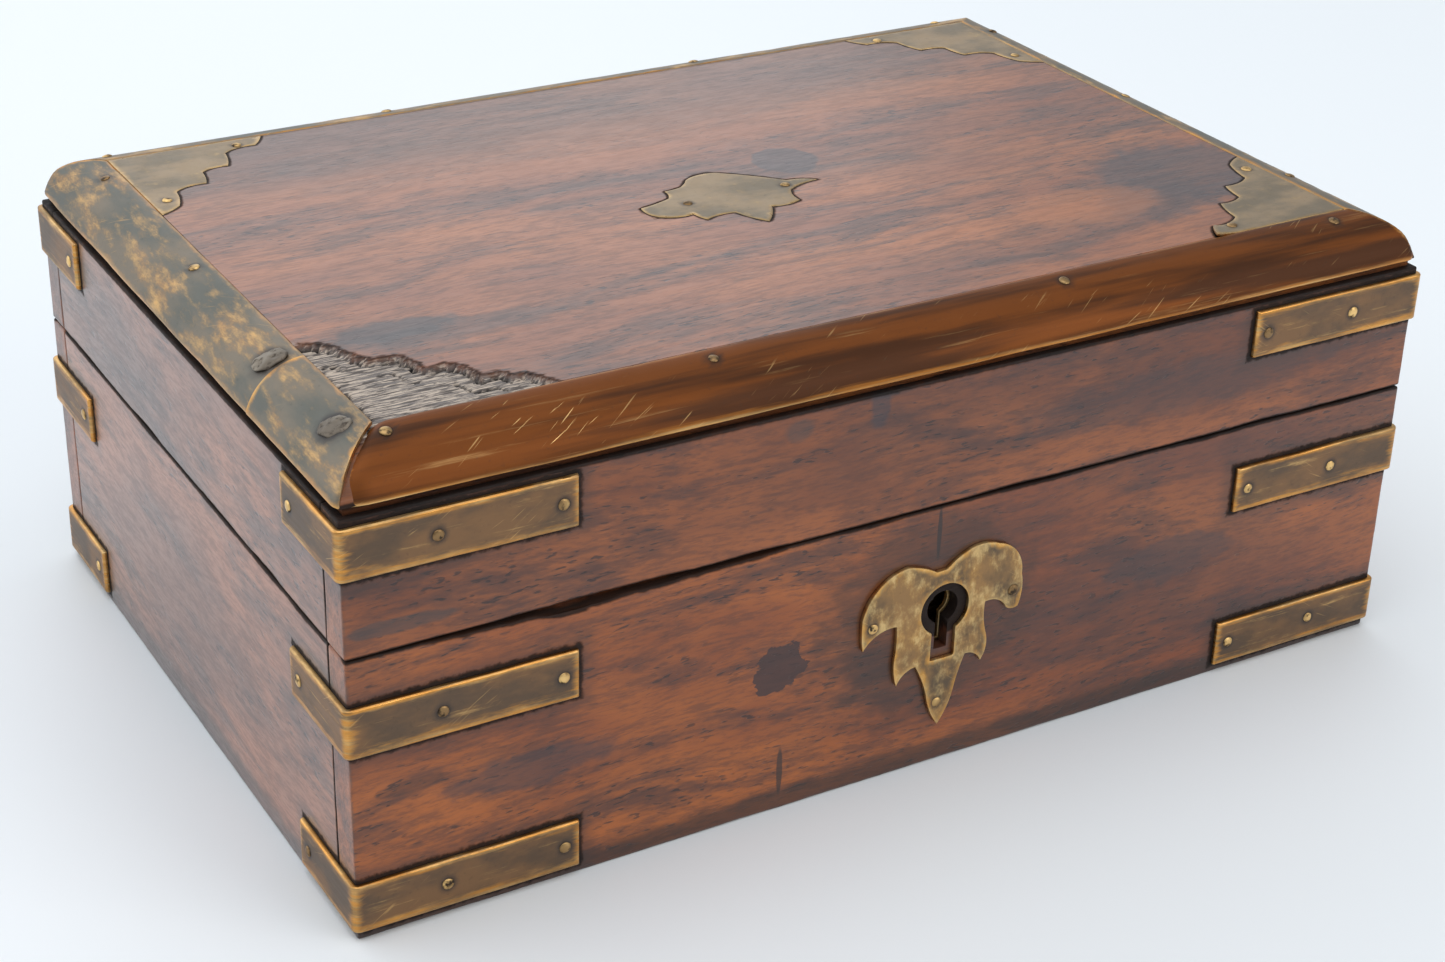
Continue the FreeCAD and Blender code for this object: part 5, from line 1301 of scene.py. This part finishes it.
def edge_strip(name, side, start, end, seed, proud=0.0, nose=0.0):
    """One length of the quarter round; start and end are places along it, or None for a mitre."""
    along_way, out_way = (np.array(way, float) for way in SIDES[side])
    half_long = abs(along_way @ (body_high.x, -body_low.y))
    half_wide = abs(out_way @ (body_high.x, -body_low.y))
    last_angle = math.acos((edge_low.z - edge_centre) / edge_radius)
    outer = [0, 0.012, 0.035, 0.08, *np.linspace(0.14, 0.90, 11), 0.95, 0.98, 1.0]
    rounding = {0: 0.28, 1: 0.10, len(outer) - 2: 0.08, len(outer) - 1: 0.26}
    section = [(last_angle * part, rounding.get(index, 0.0) * MM) for index, part in enumerate(outer)]
    section += [(last_angle * part, edge_sheet) for part in (1.0, 0.85, 0.6, 0.35, 0.12, 0.0)]
    length = (half_long if end is None else end) - (-half_long if start is None else start)
    count = round(length / (1.5 * MM))
    rows = [("line", number / count) for number in range(count + 1)]
    bends = [math.radians(turn) for turn in (11, 22, 33, 43.5)]
    if start is None:
        rows = [("start", turn) for turn in reversed(bends)] + rows
    if end is None:
        rows = rows + [("end", turn) for turn in bends]
    points, rims, runs = [], [], []
    for kind, part in rows:
        for index, (angle, sunk) in enumerate(section):
            if kind == "line":
                place = (-half_long if start is None else start) + part * length
            else:
                place = half_long if kind == "end" else -half_long
            wave = noise.noise(Vector((place * 60, seed, 0.3))) * 0.012
            lump = noise.noise(Vector((place * 75, angle * 1.3, seed)))
            lump += 0.5 * noise.noise(Vector((place * 260, angle * 4.0, seed + 4)))
            turn = angle * (1 + wave * angle / last_angle)
            radius = edge_radius + proud - sunk + min(lump, 0) * 0.16 * MM
            to_end = half_long - abs(place)
            if nose and place < 0:
                radius -= nose * max(0.0, 1 - to_end / (3.5 * MM)) ** 2
            inward = edge_reach - radius * math.sin(turn)
            up = edge_centre + radius * math.cos(turn)
            if inward < plan_round:
                tip = half_long - plan_round
            else:
                tip = half_long - inward
            first = -tip if start is None else start
            final = tip if end is None else end
            spread = max(plan_round - inward, 0.0)
            if kind == "line":
                along = first + (final - first) * part
                across = inward
            else:
                sign = 1 if kind == "end" else -1
                along = sign * (tip + spread * math.sin(part))
                across = plan_round - spread * math.cos(part) if spread > 0 else inward
            if kind != "line" and spread <= 0:
                along -= sign * 0.05 * MM
            spot = along_way * along + out_way * (half_wide - across)
            points.append((spot[0], spot[1], up))
            to_mitre = tip + spread - abs(along)
            from_start = to_mitre if along < 0 else 1
            if start is not None:
                from_start = abs(along - first)
            from_finish = to_mitre if along > 0 else 1
            if end is not None:
                from_finish = abs(along - final)
            arc = angle * edge_radius
            rims.append(min(arc + 0.3 * MM, last_angle * edge_radius - arc, from_start + 0.1 * MM,
                            from_finish + 0.1 * MM) / MM)
            runs.append((along + seed * 0.21, arc, seed * 0.1))
    faces = bar_faces(len(rows), len(section))
    piece = new_piece(name, points, [face[::-1] for face in faces])
    mark(piece, "rim", rims)
    mark_run(piece, runs)
    there = spots(piece)
    heads = np.array([head for head, _ in edge_nail_heads])
    halo = nail_halo(there, heads, 1.2 * MM, 2.2 * MM)
    iron = np.array([head for head, _ in iron_places])
    mark(piece, "halo", np.maximum(halo, nail_halo(there, iron, 3.4 * MM, 4.8 * MM)))
    scored = 0
    if side == "front":
        scored = np.clip(1 - np.abs(there[:, 0] + 82 * MM) / (19 * MM), 0, 1) ** 0.5
        scored = scored * (there[:, 2] > 92 * MM) * (there[:, 2] < 99.7 * MM)
    mark(piece, "score", scored + np.zeros(len(there)))
    form = bmesh.new()
    form.from_mesh(piece.data)
    bmesh.ops.remove_doubles(form, verts=form.verts, dist=0.01 * MM)
    bmesh.ops.recalc_face_normals(form, faces=form.faces)
    form.to_mesh(piece.data)
    form.free()
    smooth_off(piece, 45)
    return piece


front_edge_brass = aged_brass("front_edge_brass", rub=0.36, rim_width=0.8, bump=0.25,
                              bright=(0.90, 0.58, 0.24), golden=(0.52, 0.200, 0.042),
                              brown=(0.185, 0.057, 0.014),
                              olive=(0.070, 0.027, 0.012), grain=(14, 700, 700), mottle=(14, 210, 210),
                              patch=(22, 300, 300))
front_shader = front_edge_brass.node_tree.nodes["Principled BSDF"].inputs
front_shader["Specular IOR Level"].default_value = 0.1
# The back and side lengths have greyer, paler patina than the front: partly the metal's own tone, partly a
# painted reflection of the bright room.
side_edge_brass = aged_brass("side_edge_brass", rub=0.74, rim_width=1.0, bump=0.3, bright=(0.74, 0.43, 0.15),
                             golden=(0.62, 0.290, 0.070), brown=(0.190, 0.152, 0.108),
                             olive=(0.112, 0.110, 0.090), grain=(120, 330, 330), mottle=(40, 100, 100),
                             patch=(60, 150, 150))
lap = -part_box("lid_edge_corner_strip")[1].y
strips = [("front_edge", "lid_edge_front_strip", "front", None, None, 1.3, 0.0, 0.9 * MM, front_edge_brass),
          ("back_edge", "lid_edge_back_strip", "back", None, None, 2.9, 0.0, 0.0, side_edge_brass),
          ("right_edge", "lid_edge_right_strip", "right", None, None, 4.1, 0.0, 0.0, side_edge_brass),
          ("left_edge", "lid_edge_left_strip", "left", None, lap, 5.3, 0.0, 0.0, side_edge_brass),
          ("left_edge_corner_length", "lid_edge_corner_strip", "left", lap - 1.2 * MM, None, 6.7, 0.22 * MM,
           0.0, side_edge_brass)]
for name, node, side, start, end, seed, proud, nose, finish in strips:
    strip = edge_strip(name, side, start, end, seed, proud, nose)
    fitted(strip, "lid", node, finish)

# ---- inlaid plates --------------------------------------------------------------------------
# A sawn medallion and three scalloped corner plates of 0.8 mm brass, pinned flush into the top.
# They are dull and tan. The front-right plate has sprung up at its left tip.
inlay_brass = aged_brass("inlay_brass", rub=0.42, rim_width=0.8, bright=(0.62, 0.42, 0.19),
                         golden=(0.46, 0.29, 0.125), brown=(0.33, 0.235, 0.140), olive=(0.20, 0.155, 0.100),
                         grain=(260, 140, 140))
sprung_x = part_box("corner_plate_front_right")[0].x + 6 * MM


def sprung_tip(flat):
    """How far the plate stands up at its left tip."""
    return 0.9 * MM * np.clip((sprung_x - flat[:, 0]) / (6 * MM), 0, 1) ** 1.4


inlay_heads = np.array([head for head, _ in edge_nail_heads])
for name, node, seed, lift in (("medallion", "lid_medallion", 3, None),
                               ("scalloped_plate_back_left", "corner_plate_back_left", 5, None),
                               ("scalloped_plate_back_right", "corner_plate_back_right", 6, None),
                               ("scalloped_plate_front_right", "corner_plate_front_right", 7, sprung_tip)):
    inlay = sawn_plate(name, node, 2, 1, 0.8 * MM, seed, 0.2 * MM, lift=lift, heads=inlay_heads)
    fitted(inlay, "lid", node, inlay_brass)

# ---- nails of the top -----------------------------------------------------------------------
# Small brass pins hold the edge and the inlaid plates. Two broad hand-made nails with flat,
# uneven heads were added later at the lap of the left edge.
drive("top_pins", nail_tree, "lid", "lid_top_nails", "brass_nail", edge_nail_heads, pin_height, seed=12,
      head_height=pin_height, head_radius=1.15 * MM, ragged=0.3 * MM, finish=pin_brass)
broad_nail_metal = fastener_metal("broad_nail_metal", (0.30, 0.255, 0.20), (0.17, 0.140, 0.11),
                                  (0.08, 0.062, 0.048), rough=(0.40, 0.6))
drive("broad_nails", nail_tree, "lid", "lid_iron_nails", "iron_nail", iron_places, 0.8 * MM, seed=14,
      head_height=0.75 * MM, head_radius=3.5 * MM, shank_radius=0.8 * MM, narrow=0.74, ragged=1.3 * MM,
      finish=broad_nail_metal)
